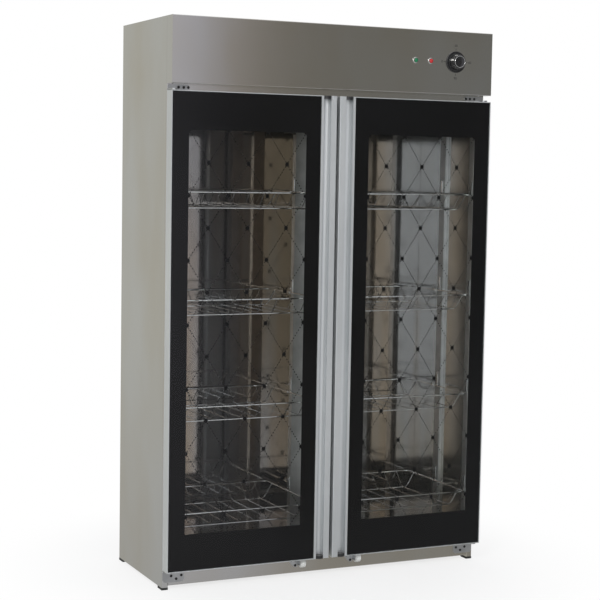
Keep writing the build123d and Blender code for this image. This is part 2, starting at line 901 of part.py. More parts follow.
sensor_y = face_y + post_rows[1]
with BuildPart() as temperature_sensor:
    extrude(discs(Plane.YZ.offset(-centre_post_x), [(sensor_y, sensor_z)], sensor_radius),
            amount=-sensor_length)
    with BuildSketch(Plane.YZ.offset(-centre_post_x)):
        span(sensor_y - 2 * sensor_radius, sensor_y + 2 * sensor_radius,
             sensor_z - 2 * sensor_radius, sensor_z + 2 * sensor_radius)
    extrude(amount=-2 * sheet)
save(temperature_sensor.part, "temperature_sensor")

with BuildPart() as cable_gland:
    dome = facets(facing(back_inner_y + sheet), [(gland_x, gland_z)], gland_radius, gland_sides)
    extrude(dome, amount=-(gland_reach + sheet))
    extrude(discs(facing(back_inner_y), [(gland_x, gland_z)], gland_radius - gland_nut / 2),
            amount=-sheet)
    with BuildSketch(facing(back_inner_y)):
        with Locations((gland_x, gland_z)):
            RegularPolygon(gland_radius, nut_sides)
    extrude(amount=gland_nut)
    extrude(discs(facing(back_inner_y), [(gland_x, gland_z)], gland_bore), amount=gland_reach * 2,
            both=True, mode=Mode.SUBTRACT)
save(cable_gland.part, "cable_gland")
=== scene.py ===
"""Looks of a two-door dish sterilizer cabinet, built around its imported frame.

Lengths are metres in the frame's own axes: X to the right, Y to the back, Z up.
"""

from __future__ import annotations

import json
import logging
import math
from collections.abc import Callable, Iterable, Sequence
from dataclasses import dataclass
from enum import Enum

import bmesh
import bpy
from mathutils import Matrix, Vector

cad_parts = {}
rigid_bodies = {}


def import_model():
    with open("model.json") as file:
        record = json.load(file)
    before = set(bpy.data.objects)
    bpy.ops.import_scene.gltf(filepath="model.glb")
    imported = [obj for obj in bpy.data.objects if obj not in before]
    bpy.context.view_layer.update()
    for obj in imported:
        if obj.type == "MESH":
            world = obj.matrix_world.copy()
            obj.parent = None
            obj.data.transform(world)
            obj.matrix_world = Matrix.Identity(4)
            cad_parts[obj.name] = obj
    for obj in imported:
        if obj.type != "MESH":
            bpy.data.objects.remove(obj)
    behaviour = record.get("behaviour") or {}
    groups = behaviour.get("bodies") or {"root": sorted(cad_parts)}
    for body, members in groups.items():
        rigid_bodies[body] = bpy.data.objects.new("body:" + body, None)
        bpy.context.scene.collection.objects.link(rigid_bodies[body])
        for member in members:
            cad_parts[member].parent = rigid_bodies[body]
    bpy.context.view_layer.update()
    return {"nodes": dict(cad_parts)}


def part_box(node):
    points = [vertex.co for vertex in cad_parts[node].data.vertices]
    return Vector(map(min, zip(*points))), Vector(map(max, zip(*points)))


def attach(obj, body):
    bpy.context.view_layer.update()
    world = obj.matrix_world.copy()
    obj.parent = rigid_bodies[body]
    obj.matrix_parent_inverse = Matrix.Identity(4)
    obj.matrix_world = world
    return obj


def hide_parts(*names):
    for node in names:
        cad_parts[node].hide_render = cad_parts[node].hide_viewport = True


LOG = logging.getLogger("cabinet")
SMOOTH_ANGLE = math.radians(32.0)
WELD_DISTANCE = 0.00001
MILLIMETRE_DIGITS = 3
NOISE_MIDDLE = 0.5
DUST_TONE = (0.62, 0.6, 0.57)
COAT_ROUGHNESS = 0.05
BUMP_STRENGTH = 0.6

Colour = tuple[float, float, float]
Triple = tuple[float, float, float]
Outline = Sequence[tuple[float, float]]


class Side(Enum):
    """Which of the two doors, racks or walls a piece belongs to."""

    LEFT = -1
    RIGHT = 1

    @property
    def label(self) -> str:
        """Word that starts the names of this side's pieces."""
        return self.name.lower()


class Facing(Enum):
    """Direction that a turned piece points, with the turn that brings Z there."""

    FRONT = (0.0, -1.0, 0.0)
    BACK = (0.0, 1.0, 0.0)
    RIGHT = (1.0, 0.0, 0.0)

    @property
    def forward(self) -> Vector:
        """Unit vector out of the piece's nose."""
        return Vector(self.value)

    @property
    def turn(self) -> Triple:
        """Euler turn that points a primitive's own Z this way."""
        return tuple(Vector((0.0, 0.0, 1.0)).rotation_difference(self.forward).to_euler())

    def across(self, share: float) -> Triple:
        """Scale that grows a ring without moving it along the axis."""
        return tuple(1.0 if part else share for part in self.value)


# ------------------------------------------------------------------ modelling by hand


def deselect_all() -> None:
    """Leave edit mode and leave nothing selected."""
    current = bpy.context.view_layer.objects.active
    if current is not None and current.mode != "OBJECT":
        bpy.ops.object.mode_set(mode="OBJECT")
    bpy.ops.object.select_all(action="DESELECT")


def activate(piece: bpy.types.Object) -> None:
    """Select one piece alone and make it the active one.

    Args:
        piece: Object that the next operators work on.
    """
    deselect_all()
    piece.select_set(True)
    bpy.context.view_layer.objects.active = piece


class Editing:
    """Edit mode on one piece, opened and closed by a with block."""

    def __init__(self, piece: bpy.types.Object) -> None:
        """Remember the piece to edit.

        Args:
            piece: Mesh object whose place is already in its mesh.
        """
        self.piece = piece

    def __enter__(self) -> Editing:
        """Open edit mode in face selection with nothing selected.

        Returns:
            This editing block.
        """
        activate(self.piece)
        bpy.ops.object.mode_set(mode="EDIT")
        bpy.ops.mesh.select_mode(type="FACE")
        bpy.ops.mesh.select_all(action="DESELECT")
        return self

    def __exit__(self, *problem: object) -> None:
        """Close edit mode."""
        bpy.ops.object.mode_set(mode="OBJECT")

    def everything(self) -> None:
        """Select all of the mesh."""
        bpy.ops.mesh.select_all(action="SELECT")

    def pick(self, test: Callable[[Vector], bool]) -> None:
        """Select the faces that pass a test.

        Args:
            test: Takes a face's centre and says whether the face is wanted.
        """
        bpy.ops.mesh.select_all(action="DESELECT")
        form = bmesh.from_edit_mesh(self.piece.data)
        for face in form.faces:
            if test(face.calc_center_median()):
                face.select_set(True)
        bmesh.update_edit_mesh(self.piece.data)

    def cut(self, point: Triple, normal: Triple, clear: bool = False) -> None:
        """Bisect the whole mesh on a plane.

        Args:
            point: A point on the plane.
            normal: The plane's normal.
            clear: Whether to drop what lies on the normal's side and close what is cut.
        """
        self.everything()
        bpy.ops.mesh.bisect(plane_co=point, plane_no=normal, clear_outer=clear)
        if clear:
            self.everything()
            bpy.ops.mesh.fill_holes(sides=0)


def settle(piece: bpy.types.Object, name: str) -> bpy.types.Object:
    """Put a piece's place into its mesh, name it and turn its faces outwards.

    Args:
        piece: Fresh mesh object.
        name: Name of the finished piece.

    Returns:
        The same piece, its object at the origin.
    """
    bpy.context.view_layer.update()
    piece.data.transform(piece.matrix_world)
    piece.matrix_world = Matrix.Identity(4)
    piece.name = name
    piece.data.name = name
    with Editing(piece) as edit:
        edit.everything()
        bpy.ops.mesh.normals_make_consistent(inside=False)
    return piece


def shape_with(piece: bpy.types.Object, kind: str, **values: object) -> None:
    """Add one modifier, set it and apply it.

    Args:
        piece: Mesh object to change.
        kind: Blender's name of the modifier type.
        **values: The modifier's own settings.
    """
    activate(piece)
    modifier = piece.modifiers.new(kind.lower(), kind)
    for key, value in values.items():
        setattr(modifier, key, value)
    bpy.ops.object.modifier_apply(modifier=modifier.name)


def soften(piece: bpy.types.Object) -> None:
    """Shade rounded faces smooth and keep real corners crisp."""
    activate(piece)
    bpy.ops.object.shade_smooth_by_angle(angle=SMOOTH_ANGLE)


def block(name: str, low: Vector, high: Vector, edge: float) -> bpy.types.Object:
    """Box between two corners with its edges eased.

    Args:
        name: Name of the piece.
        low: Lowest corner.
        high: Highest corner.
        edge: Width of the eased edge.

    Returns:
        The finished piece.
    """
    deselect_all()
    bpy.ops.mesh.primitive_cube_add(size=1.0, location=(low + high) / 2)
    piece = bpy.context.object
    piece.scale = high - low
    settle(piece, name)
    shape_with(piece, "BEVEL", width=edge, segments=2, limit_method="ANGLE")
    return piece


def scaled(outline: Outline, reach: float, radius: float) -> list[tuple[float, float]]:
    """Turn an outline of shares into depths and radii."""
    return [(depth * reach, share * radius) for depth, share in outline]


def turned(
    name: str, centre: Vector, facing: Facing, profile: Outline, sides: int
) -> bpy.types.Object:
    """Body of revolution, drawn ring by ring from a disc.

    Args:
        name: Name of the piece.
        centre: Point that the profile's depths start from.
        facing: Direction of growing depth.
        profile: Depth and radius of each ring, from the first cap to the last.
        sides: Number of sides of each ring.

    Returns:
        The finished piece.
    """
    depth, radius = profile[0]
    deselect_all()
    bpy.ops.mesh.primitive_circle_add(
        vertices=sides,
        radius=radius,
        fill_type="NGON",
        location=centre + facing.forward * depth,
        rotation=facing.turn,
    )
    piece = settle(bpy.context.object, name)
    with Editing(piece) as edit:
        edit.everything()
        for next_depth, next_radius in profile[1:]:
            step = facing.forward * (next_depth - depth)
            bpy.ops.mesh.extrude_region_move(TRANSFORM_OT_translate={"value": step})
            bpy.ops.transform.resize(
                value=facing.across(next_radius / radius),
                center_override=centre + facing.forward * next_depth,
            )
            depth, radius = next_depth, next_radius
        edit.everything()
        bpy.ops.mesh.normals_make_consistent(inside=False)
    soften(piece)
    return piece


def copy_of(piece: bpy.types.Object, name: str, shift: Vector) -> bpy.types.Object:
    """Copy a finished piece with its own mesh, moved by a shift.

    Args:
        piece: Piece to copy.
        name: Name of the copy.
        shift: How far the copy's mesh moves.

    Returns:
        The copy, linked to the scene.
    """
    twin = piece.copy()
    twin.data = piece.data.copy()
    twin.data.transform(Matrix.Translation(shift))
    twin.name = name
    twin.data.name = name
    bpy.context.scene.collection.objects.link(twin)
    return twin


def joined(pieces: Sequence[bpy.types.Object], name: str) -> bpy.types.Object:
    """Join pieces into the first one and name the result.

    Args:
        pieces: Mesh objects to join. All but the first are used up.
        name: Name of the joined piece.

    Returns:
        The joined piece.
    """
    deselect_all()
    for piece in pieces:
        piece.select_set(True)
    bpy.context.view_layer.objects.active = pieces[0]
    bpy.ops.object.join()
    pieces[0].name = name
    pieces[0].data.name = name
    return pieces[0]


def loose_centres(node: bpy.types.Object) -> list[Vector]:
    """Middle of each separate solid of a CAD node.

    Args:
        node: CAD node whose mesh holds several solids.

    Returns:
        One point for each solid, from left to right and top to bottom.
    """
    twin = copy_of(node, "count_" + node.name, Vector())
    twin.parent = None
    with Editing(twin) as edit:
        edit.everything()
        bpy.ops.mesh.remove_doubles(threshold=WELD_DISTANCE)
        bpy.ops.mesh.separate(type="LOOSE")
    found = list(bpy.context.selected_objects)
    places = []
    for part in found:
        corners = [vertex.co for vertex in part.data.vertices]
        low = Vector([min(corner[axis] for corner in corners) for axis in range(3)])
        high = Vector([max(corner[axis] for corner in corners) for axis in range(3)])
        places.append((low + high) / 2)
    for part in found:
        bpy.data.objects.remove(part)
    return sorted(places, key=lambda place: (round(place.x, MILLIMETRE_DIGITS), -place.z))


# ------------------------------------------------------------------ shader groups


def solid(tone: Colour) -> tuple[float, float, float, float]:
    """Colour with full cover, as a colour socket wants it."""
    return (*tone, 1.0)


class Board:
    """Node tree with short ways to add and join nodes."""

    def __init__(self, tree: bpy.types.NodeTree) -> None:
        """Wrap a material's, world's or group's node tree."""
        self.tree = tree

    def add(
        self, kind: str, values: dict[str, object] | None = None, **settings: object
    ) -> bpy.types.Node:
        """Add a node.

        Args:
            kind: Blender's type name of the node.
            values: Input sockets to set, by name.
            **settings: Properties of the node itself.

        Returns:
            The new node.
        """
        node = self.tree.nodes.new(kind)
        for key, value in settings.items():
            setattr(node, key, value)
        for key, value in (values or {}).items():
            node.inputs[key].default_value = value
        return node

    def link(self, source: bpy.types.NodeSocket, target: bpy.types.NodeSocket) -> None:
        """Join an output socket to an input socket."""
        self.tree.links.new(source, target)

    def feed(self, target: bpy.types.NodeSocket, value: object) -> None:
        """Give an input socket a value or the output of another node.

        Args:
            target: Input socket.
            value: Output socket, or a plain value.
        """
        if isinstance(value, bpy.types.NodeSocket):
            self.link(value, target)
        else:
            target.default_value = value

    def maths(self, operation: str, first: object, second: object) -> bpy.types.NodeSocket:
        """Work out one value from two.

        Args:
            operation: Name of the Math node's operation.
            first: Socket or number.
            second: Socket or number.

        Returns:
            The result's socket.
        """
        node = self.add("ShaderNodeMath", operation=operation)
        self.feed(node.inputs[0], first)
        self.feed(node.inputs[1], second)
        return node.outputs[0]

    def ranged(
        self, value: bpy.types.NodeSocket, limits: dict[str, float], **settings: object
    ) -> bpy.types.NodeSocket:
        """Carry a value from one range to another.

        Args:
            value: Socket of the value.
            limits: Ends of the two ranges, by the names of the sockets.
            **settings: Properties of the node itself.

        Returns:
            The result's socket.
        """
        node = self.add("ShaderNodeMapRange", limits, **settings)
        self.link(value, node.inputs["Value"])
        return node.outputs[0]

    def mixed(
        self, mask: bpy.types.NodeSocket, first: object, second: object
    ) -> bpy.types.NodeSocket:
        """Mix two colours.

        Args:
            mask: Socket of the second colour's share.
            first: Socket or colour.
            second: Socket or colour.

        Returns:
            The mixed colour's socket.
        """
        node = self.add("ShaderNodeMix", data_type="RGBA")
        self.link(mask, node.inputs["Factor"])
        self.feed(node.inputs["A"], first)
        self.feed(node.inputs["B"], second)
        return node.outputs["Result"]

    def blended(
        self,
        share: bpy.types.NodeSocket,
        first: bpy.types.NodeSocket,
        second: bpy.types.NodeSocket,
    ) -> bpy.types.NodeSocket:
        """Blend two shaders.

        Args:
            share: Socket of the second shader's share.
            first: Shader's socket.
            second: Shader's socket.

        Returns:
            The blended shader's socket.
        """
        node = self.add("ShaderNodeMixShader")
        for target, source in zip(node.inputs, (share, first, second)):
            self.link(source, target)
        return node.outputs[0]

    def effect(
        self, tree: bpy.types.NodeTree, place: bpy.types.NodeSocket, values: dict[str, object]
    ) -> bpy.types.Node:
        """Place a shared group that reads the object's coordinates.

        Args:
            tree: The shared group.
            place: Socket of the coordinates.
            values: Inputs of the group to set, by name.

        Returns:
            The group's node.
        """
        node = self.add("ShaderNodeGroup", values, node_tree=tree)
        self.link(place, node.inputs["Vector"])
        return node


class EffectGroup(Board):
    """Shader node group with named inputs and outputs."""

    def __init__(
        self,
        name: str,
        inputs: dict[str, tuple[str, object]],
        outputs: dict[str, str],
    ) -> None:
        """Create the empty group.

        Args:
            name: Name of the group.
            inputs: Socket type and default of each input.
            outputs: Socket type of each output.
        """
        super().__init__(bpy.data.node_groups.new(name, "ShaderNodeTree"))
        for key, (kind, default) in inputs.items():
            socket = self.tree.interface.new_socket(name=key, in_out="INPUT", socket_type=kind)
            if default is not None:
                socket.default_value = default
        for key, kind in outputs.items():
            self.tree.interface.new_socket(name=key, in_out="OUTPUT", socket_type=kind)
        self.source = self.tree.nodes.new("NodeGroupInput").outputs
        self.result = self.tree.nodes.new("NodeGroupOutput").inputs


def rolled_grain_group() -> bpy.types.NodeTree:
    """Fine lines left by rolling or drawing metal, as a mask and a height.

    Returns:
        The group's tree.
    """
    group = EffectGroup(
        "rolled_grain",
        {
            "Vector": ("NodeSocketVector", None),
            "Lines": ("NodeSocketVector", (40.0, 40.0, 900.0)),
            "Height": ("NodeSocketFloat", 0.2),
        },
        {"Mask": "NodeSocketFloat", "Height": "NodeSocketFloat"},
    )
    stretch = group.add("ShaderNodeVectorMath", operation="MULTIPLY")
    group.link(group.source["Vector"], stretch.inputs[0])
    group.link(group.source["Lines"], stretch.inputs[1])
    noise = group.add("ShaderNodeTexNoise", {"Scale": 1.0, "Detail": 3.0, "Roughness": 0.6})
    group.link(stretch.outputs[0], noise.inputs["Vector"])
    group.link(noise.outputs["Fac"], group.result["Mask"])
    height = group.maths("MULTIPLY", noise.outputs["Fac"], group.source["Height"])
    group.link(height, group.result["Height"])
    return group.tree


def cloudy_tone_group() -> bpy.types.NodeTree:
    """Broad soft patches as a mask from 0 to 1.

    A small Upright draws them out into upright bands, and a small Rear calms them on
    faces that look to the back.

    Returns:
        The group's tree.
    """
    group = EffectGroup(
        "cloudy_tone",
        {
            "Vector": ("NodeSocketVector", None),
            "Scale": ("NodeSocketFloat", 3.0),
            "Spread": ("NodeSocketFloat", 0.2),
            "Upright": ("NodeSocketFloat", 1.0),
            "Rear": ("NodeSocketFloat", 1.0),
        },
        {"Mask": "NodeSocketFloat"},
    )
    noise = group.add("ShaderNodeTexNoise", {"Detail": 3.0, "Roughness": 0.5})
    squeeze = group.add("ShaderNodeCombineXYZ", {"X": 1.0, "Y": 1.0})
    group.link(group.source["Upright"], squeeze.inputs["Z"])
    stretch = group.add("ShaderNodeVectorMath", operation="MULTIPLY")
    group.link(group.source["Vector"], stretch.inputs[0])
    group.link(squeeze.outputs[0], stretch.inputs[1])
    group.link(stretch.outputs[0], noise.inputs["Vector"])
    group.link(group.source["Scale"], noise.inputs["Scale"])
    centred = group.maths("SUBTRACT", noise.outputs["Fac"], NOISE_MIDDLE)
    spread = group.maths("DIVIDE", centred, group.source["Spread"])
    limited = group.add("ShaderNodeClamp")
    group.link(group.maths("ADD", spread, NOISE_MIDDLE), limited.inputs["Value"])
    facing = group.add("ShaderNodeSeparateXYZ")
    group.link(group.add("ShaderNodeNewGeometry").outputs["Normal"], facing.inputs[0])
    rearward = group.maths("MAXIMUM", facing.outputs["Y"], 0.0)
    kept = group.add("ShaderNodeMix", {"A": 1.0}, data_type="FLOAT")
    group.link(rearward, kept.inputs["Factor"])
    group.link(group.source["Rear"], kept.inputs["B"])
    mask = group.maths("MULTIPLY", limited.outputs[0], kept.outputs["Result"])
    group.link(mask, group.result["Mask"])
    return group.tree


def settled_dust_group() -> bpy.types.NodeTree:
    """Dust that settles on faces that look up, as a mask from 0 to Amount.

    Returns:
        The group's tree.
    """
    group = EffectGroup(
        "settled_dust",
        {
            "Vector": ("NodeSocketVector", None),
            "Amount": ("NodeSocketFloat", 0.2),
        },
        {"Mask": "NodeSocketFloat"},
    )
    upward = group.add("ShaderNodeSeparateXYZ")
    group.link(group.add("ShaderNodeNewGeometry").outputs["Normal"], upward.inputs[0])
    noise = group.add("ShaderNodeTexNoise", {"Scale": 60.0, "Detail": 4.0})
    group.link(group.source["Vector"], noise.inputs["Vector"])
    lit = group.add("ShaderNodeClamp")
    group.link(upward.outputs["Z"], lit.inputs["Value"])
    grains = group.maths("MULTIPLY", lit.outputs[0], noise.outputs["Fac"])
    group.link(group.maths("MULTIPLY", grains, group.source["Amount"]), group.result["Mask"])
    return group.tree


class EffectShelf:
    """The shader groups that the finishes share, each built once."""

    def __init__(self) -> None:
        """Build every group."""
        self.grain = rolled_grain_group()
        self.cloud = cloudy_tone_group()
        self.dust = settled_dust_group()


# ------------------------------------------------------------------ finishes


@dataclass(frozen=True)
class Finish:
    """Opaque finish: two tones in soft patches, fine lines and a little dust."""

    name: str
    tone: Colour
    second_tone: Colour
    roughness: tuple[float, float]
    metallic: float = 0.0
    lines: Triple = (60.0, 60.0, 60.0)
    line_depth: float = 0.00002
    patch_scale: float = 3.0
    patch_spread: float = 0.35
    patch_upright: float = 1.0
    patch_rear: float = 1.0
    dust: float = 0.0
    coat: float = 0.0
    specular: float = 0.5

    def make(self, effects: EffectShelf) -> bpy.types.Material:
        """Build the material.

        Args:
            effects: Shader groups to place in it.

        Returns:
            The finished material.
        """
        material = bpy.data.materials.new(self.name)
        material.use_nodes = True
        board = Board(material.node_tree)
        shader = material.node_tree.nodes["Principled BSDF"]
        shader.inputs["Metallic"].default_value = self.metallic
        shader.inputs["Coat Weight"].default_value = self.coat
        shader.inputs["Coat Roughness"].default_value = COAT_ROUGHNESS
        shader.inputs["Specular IOR Level"].default_value = self.specular
        place = board.add("ShaderNodeTexCoord").outputs["Object"]
        cloud = board.effect(
            effects.cloud,
            place,
            {
                "Scale": self.patch_scale,
                "Spread": self.patch_spread,
                "Upright": self.patch_upright,
                "Rear": self.patch_rear,
            },
        )
        grain = board.effect(
            effects.grain, place, {"Lines": self.lines, "Height": self.line_depth}
        )
        dust = board.effect(effects.dust, place, {"Amount": self.dust})
        clean = board.mixed(cloud.outputs["Mask"], solid(self.tone), solid(self.second_tone))
        dusty = board.mixed(dust.outputs["Mask"], clean, solid(DUST_TONE))
        board.link(dusty, shader.inputs["Base Color"])
        fine, coarse = self.roughness
        sheen = board.ranged(grain.outputs["Mask"], {"To Min": fine, "To Max": coarse})
        board.link(sheen, shader.inputs["Roughness"])
        bump = board.add("ShaderNodeBump", {"Strength": BUMP_STRENGTH, "Distance": 1.0})
        board.link(grain.outputs["Height"], bump.inputs["Height"])
        board.link(bump.outputs["Normal"], shader.inputs["Normal"])
        return material


@dataclass(frozen=True)
class GlassFinish:
    """Clear finish that lets light through to what stands behind it."""

    name: str
    tone: Colour
    second_tone: Colour
    roughness: float = 0.0
    ior: float = 1.34
    patch_scale: float = 4.0

    def make(self, effects: EffectShelf) -> bpy.types.Material:
        """Build the material.

        Args:
            effects: Shader groups to place in it.

        Returns:
            The finished material.
        """
        material = bpy.data.materials.new(self.name)
        material.use_nodes = True
        board = Board(material.node_tree)
        shader = material.node_tree.nodes["Principled BSDF"]
        shader.inputs["Transmission Weight"].default_value = 1.0
        shader.inputs["Roughness"].default_value = self.roughness
        shader.inputs["IOR"].default_value = self.ior
        place = board.add("ShaderNodeTexCoord").outputs["Object"]
        cloud = board.effect(effects.cloud, place, {"Scale": self.patch_scale})
        tone = board.mixed(cloud.outputs["Mask"], solid(self.tone), solid(self.second_tone))
        board.link(tone, shader.inputs["Base Color"])
        through = board.add("ShaderNodeBsdfTransparent", {"Color": solid(self.tone)})
        shadow = board.add("ShaderNodeLightPath").outputs["Is Shadow Ray"]
        surface = board.blended(shadow, shader.outputs[0], through.outputs[0])
        board.link(surface, material.node_tree.nodes["Material Output"].inputs[0])
        return material


class Trim(Enum):
    """Every finish on the cabinet."""

    OUTER_STEEL = Finish(
        "satin_stainless",
        (0.62, 0.62, 0.615),
        (0.57, 0.54, 0.48),
        (0.09, 0.17),
        metallic=1.0,
        lines=(26.0, 26.0, 1100.0),
        line_depth=0.00001,
        patch_scale=2.2,
        patch_spread=0.25,
        patch_upright=0.5,
        dust=0.15,
    )
    # Painted reflection: the brownish second tone, drawn out into upright bands, paints the room's
    # reflection on the back, floor and ceiling sheets.
    INNER_STEEL = Finish(
        "mirror_stainless",
        (0.38, 0.38, 0.39),
        (0.36, 0.295, 0.235),
        (0.04, 0.09),
        metallic=1.0,
        lines=(30.0, 30.0, 900.0),
        line_depth=0.000002,
        patch_scale=5.0,
        patch_spread=0.16,
        patch_upright=0.06,
        patch_rear=0.2,
    )
    ANODISED = Finish(
        "anodised_profile",
        (0.74, 0.76, 0.77),
        (0.66, 0.68, 0.69),
        (0.24, 0.38),
        metallic=0.7,
        lines=(1400.0, 1400.0, 9.0),
        line_depth=0.000012,
        patch_scale=2.0,
        dust=0.1,
    )
    ZINC = Finish(
        "zinc_plate",
        (0.58, 0.59, 0.60),
        (0.46, 0.47, 0.48),
        (0.22, 0.42),
        metallic=1.0,
        lines=(220.0, 220.0, 220.0),
        patch_scale=24.0,
        dust=0.2,
    )
    CHROME = Finish(
        "bright_chrome",
        (0.80, 0.80, 0.80),
        (0.70, 0.70, 0.70),
        (0.06, 0.16),
        metallic=1.0,
        lines=(300.0, 300.0, 300.0),
        line_depth=0.000004,
        patch_scale=30.0,
    )
    KNOB_BLACK = Finish(
        "knob_gloss",
        (0.010, 0.010, 0.011),
        (0.016, 0.016, 0.017),
        (0.10, 0.22),
        lines=(900.0, 900.0, 900.0),
        line_depth=0.000004,
        patch_scale=40.0,
        coat=0.4,
    )
    MOULDED_BLACK = Finish(
        "moulded_black",
        (0.014, 0.014, 0.015),
        (0.022, 0.022, 0.023),
        (0.38, 0.55),
        lines=(700.0, 700.0, 700.0),
        line_depth=0.00002,
        patch_scale=30.0,
        dust=0.1,
    )
    PRINT_BLACK = Finish(
        "black_print",
        (0.0035, 0.0035, 0.004),
        (0.006, 0.006, 0.007),
        (0.35, 0.5),
        lines=(500.0, 500.0, 500.0),
        line_depth=0.000004,
        patch_scale=3.0,
        specular=0.05,
    )
    SCREW_BLACK = Finish(
        "black_oxide",
        (0.03, 0.03, 0.032),
        (0.06, 0.058, 0.055),
        (0.30, 0.50),
        metallic=0.7,
        lines=(900.0, 900.0, 900.0),
        patch_scale=120.0,
    )
    RUBBER = Finish(
        "black_rubber",
        (0.018, 0.018, 0.018),
        (0.03, 0.03, 0.03),
        (0.65, 0.85),
        lines=(500.0, 500.0, 500.0),
        line_depth=0.00005,
        patch_scale=50.0,
        dust=0.3,
    )
    NYLON = Finish(
        "white_nylon",
        (0.82, 0.82, 0.80),
        (0.74, 0.74, 0.71),
        (0.38, 0.52),
        lines=(600.0, 600.0, 600.0),
        line_depth=0.00002,
        patch_scale=40.0,
        dust=0.1,
    )
    GREEN_LENS = Finish(
        "green_lens",
        (0.0, 0.12, 0.045),
        (0.01, 0.22, 0.09),
        (0.08, 0.16),
        lines=(900.0, 900.0, 900.0),
        patch_scale=120.0,
        coat=0.6,
    )
    RED_LENS = Finish(
        "red_lens",
        (0.42, 0.008, 0.012),
        (0.62, 0.03, 0.03),
        (0.08, 0.16),
        lines=(900.0, 900.0, 900.0),
        patch_scale=120.0,
        coat=0.6,
    )
    DIAL_INK = Finish(
        "dial_ink",
        (0.012, 0.012, 0.012),
        (0.02, 0.02, 0.02),
        (0.45, 0.60),
        lines=(900.0, 900.0, 900.0),
        patch_scale=200.0,
    )
    TUBE_GLASS = Finish(
        "frosted_tube",
        (0.80, 0.83, 0.86),
        (0.70, 0.74, 0.79),
        (0.18, 0.30),
        lines=(300.0, 300.0, 300.0),
        patch_scale=18.0,
        coat=0.5,
    )
    DOOR_GLASS = GlassFinish("door_glass", (0.955, 0.97, 0.962), (0.935, 0.955, 0.947))


class Wardrobe:
    """Makes each finish once and hands out its material."""

    def __init__(self) -> None:
        """Build the shared effects; no material is made yet."""
        self.effects = EffectShelf()
        self.made: dict[Trim, bpy.types.Material] = {}

    def material(self, trim: Trim) -> bpy.types.Material:
        """Hand out the material of one finish, made on first use.

        Args:
            trim: Finish to look up.

        Returns:
            Its material.
        """
        if trim not in self.made:
            self.made[trim] = trim.value.make(self.effects)
        return self.made[trim]

    def dress(self, piece: bpy.types.Object, trim: Trim) -> bpy.types.Object:
        """Give a piece or CAD node one finish all over.

        Args:
            piece: Object to dress.
            trim: Finish to give it.

        Returns:
            The same object.
        """
        piece.data.materials.clear()
        piece.data.materials.append(self.material(trim))
        return piece


@dataclass
class Fitting:
    """Shared way of putting a finished piece on the cabinet."""

    wardrobe: Wardrobe
    nodes: dict[str, bpy.types.Object]

    def fit(
        self,
        piece: bpy.types.Object,
        trim: Trim,
        body: str,
        slot: str,
        *replaced: str,
    ) -> bpy.types.Object:
        """Dress a new piece, put it on its body and hide the CAD nodes that it stands for.

        Args:
            piece: Finished piece.
            trim: Its finish.
            body: CAD body that it rides on.
            slot: Not used.
            *replaced: CAD nodes that it hides.

        Returns:
            The same piece.
        """
        self.wardrobe.dress(piece, trim)
        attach(piece, body)
        if replaced:
            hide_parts(*replaced)
        LOG.info("%s: %d faces on %s", piece.name, len(piece.data.polygons), body)
        return piece

    def dress_nodes(self, names: Iterable[str], trim: Trim) -> None:
        """Dress CAD nodes that keep their shape.

        Args:
            names: Names of the nodes.
            trim: Finish to give them.
        """
        for name in names:
            self.wardrobe.dress(self.nodes[name], trim)
            LOG.info("%s: carried over as %s", name, trim.value.name)


# ------------------------------------------------------------------ cabinet


@dataclass
class CabinetBody(Fitting):
    """Sheets, posts, brackets, feet and the inner fittings that keep their CAD shape."""

    finishes: tuple[tuple[Trim, tuple[str, ...]], ...] = (
        (
            Trim.OUTER_STEEL,
            (
                "left_side_panel",
                "right_side_panel",
                "top_panel",
                "header_panel",
                "top_rail",
                "bottom_rail",
            ),
        ),
        (Trim.INNER_STEEL, ("back_panel", "chamber_floor", "chamber_ceiling")),
        (
            Trim.ZINC,
            (
                "left_wall_posts",
                "right_wall_posts",
                "centre_posts",
                "lower_hinges",
                "upper_hinges",
                "wheel_brackets",
                "heater_brackets",
                "timer_shaft",
            ),
        ),
        (Trim.CHROME, ("rack_hooks", "heater_element")),
        (Trim.RUBBER, ("foot_pads",)),
        (Trim.MOULDED_BLACK, ("timer_body", "temperature_sensor")),
        (Trim.NYLON, ("lamp_holders",)),
        (Trim.TUBE_GLASS, ("sterilizing_lamp",)),
    )

    def build(self) -> None:
        """Dress every carried-over node of the cabinet."""
        for trim, names in self.finishes:
            self.dress_nodes(names, trim)


@dataclass
class BracketScrews(Fitting):
    """Pan-head screws of the hinge and wheel brackets, with a cross recess."""

    radius: float = 0.0045
    height: float = 0.0024
    outline: Outline = ((0.0, 1.0), (0.4, 1.0), (0.8, 0.86), (1.0, 0.6))
    recess: float = 0.0011
    recess_edge: float = 0.0001
    arm: float = 0.0026
    arm_width: float = 0.0009
    sides: int = 20

    def one_head(self, seat: Vector) -> bpy.types.Object:
        """Model one screw head.

        Args:
            seat: Point of the plate under the middle of the head.

        Returns:
            The head with its recess cut.
        """
        profile = scaled(self.outline, self.height, self.radius)
        head = turned("screw_head", seat, Facing.FRONT, profile, self.sides)
        top = seat + Facing.FRONT.forward * self.height
        cutters = []
        for across, tall in ((self.arm, self.arm_width), (self.arm_width, self.arm)):
            half = Vector((across, self.recess, tall))
            cutters.append(block("recess", top - half, top + half, self.recess_edge))
        for cutter in cutters:
            shape_with(head, "BOOLEAN", operation="DIFFERENCE", object=cutter, solver="EXACT")
            bpy.data.objects.remove(cutter)
        return head

    def build(self) -> None:
        """Replace the plain heads by detailed ones at the same places."""
        places = loose_centres(self.nodes["bracket_screws"])
        seat = Vector((0.0, self.height / 2, 0.0))
        first = self.one_head(places[0] + seat)
        heads = [first]
        for index, place in enumerate(places[1:], start=1):
            heads.append(copy_of(first, f"screw_{index}", place - places[0]))
        screws = joined(heads, "bracket_screw_heads")
        soften(screws)
        self.fit(screws, Trim.SCREW_BLACK, "cabinet", "black_screws", "bracket_screws")


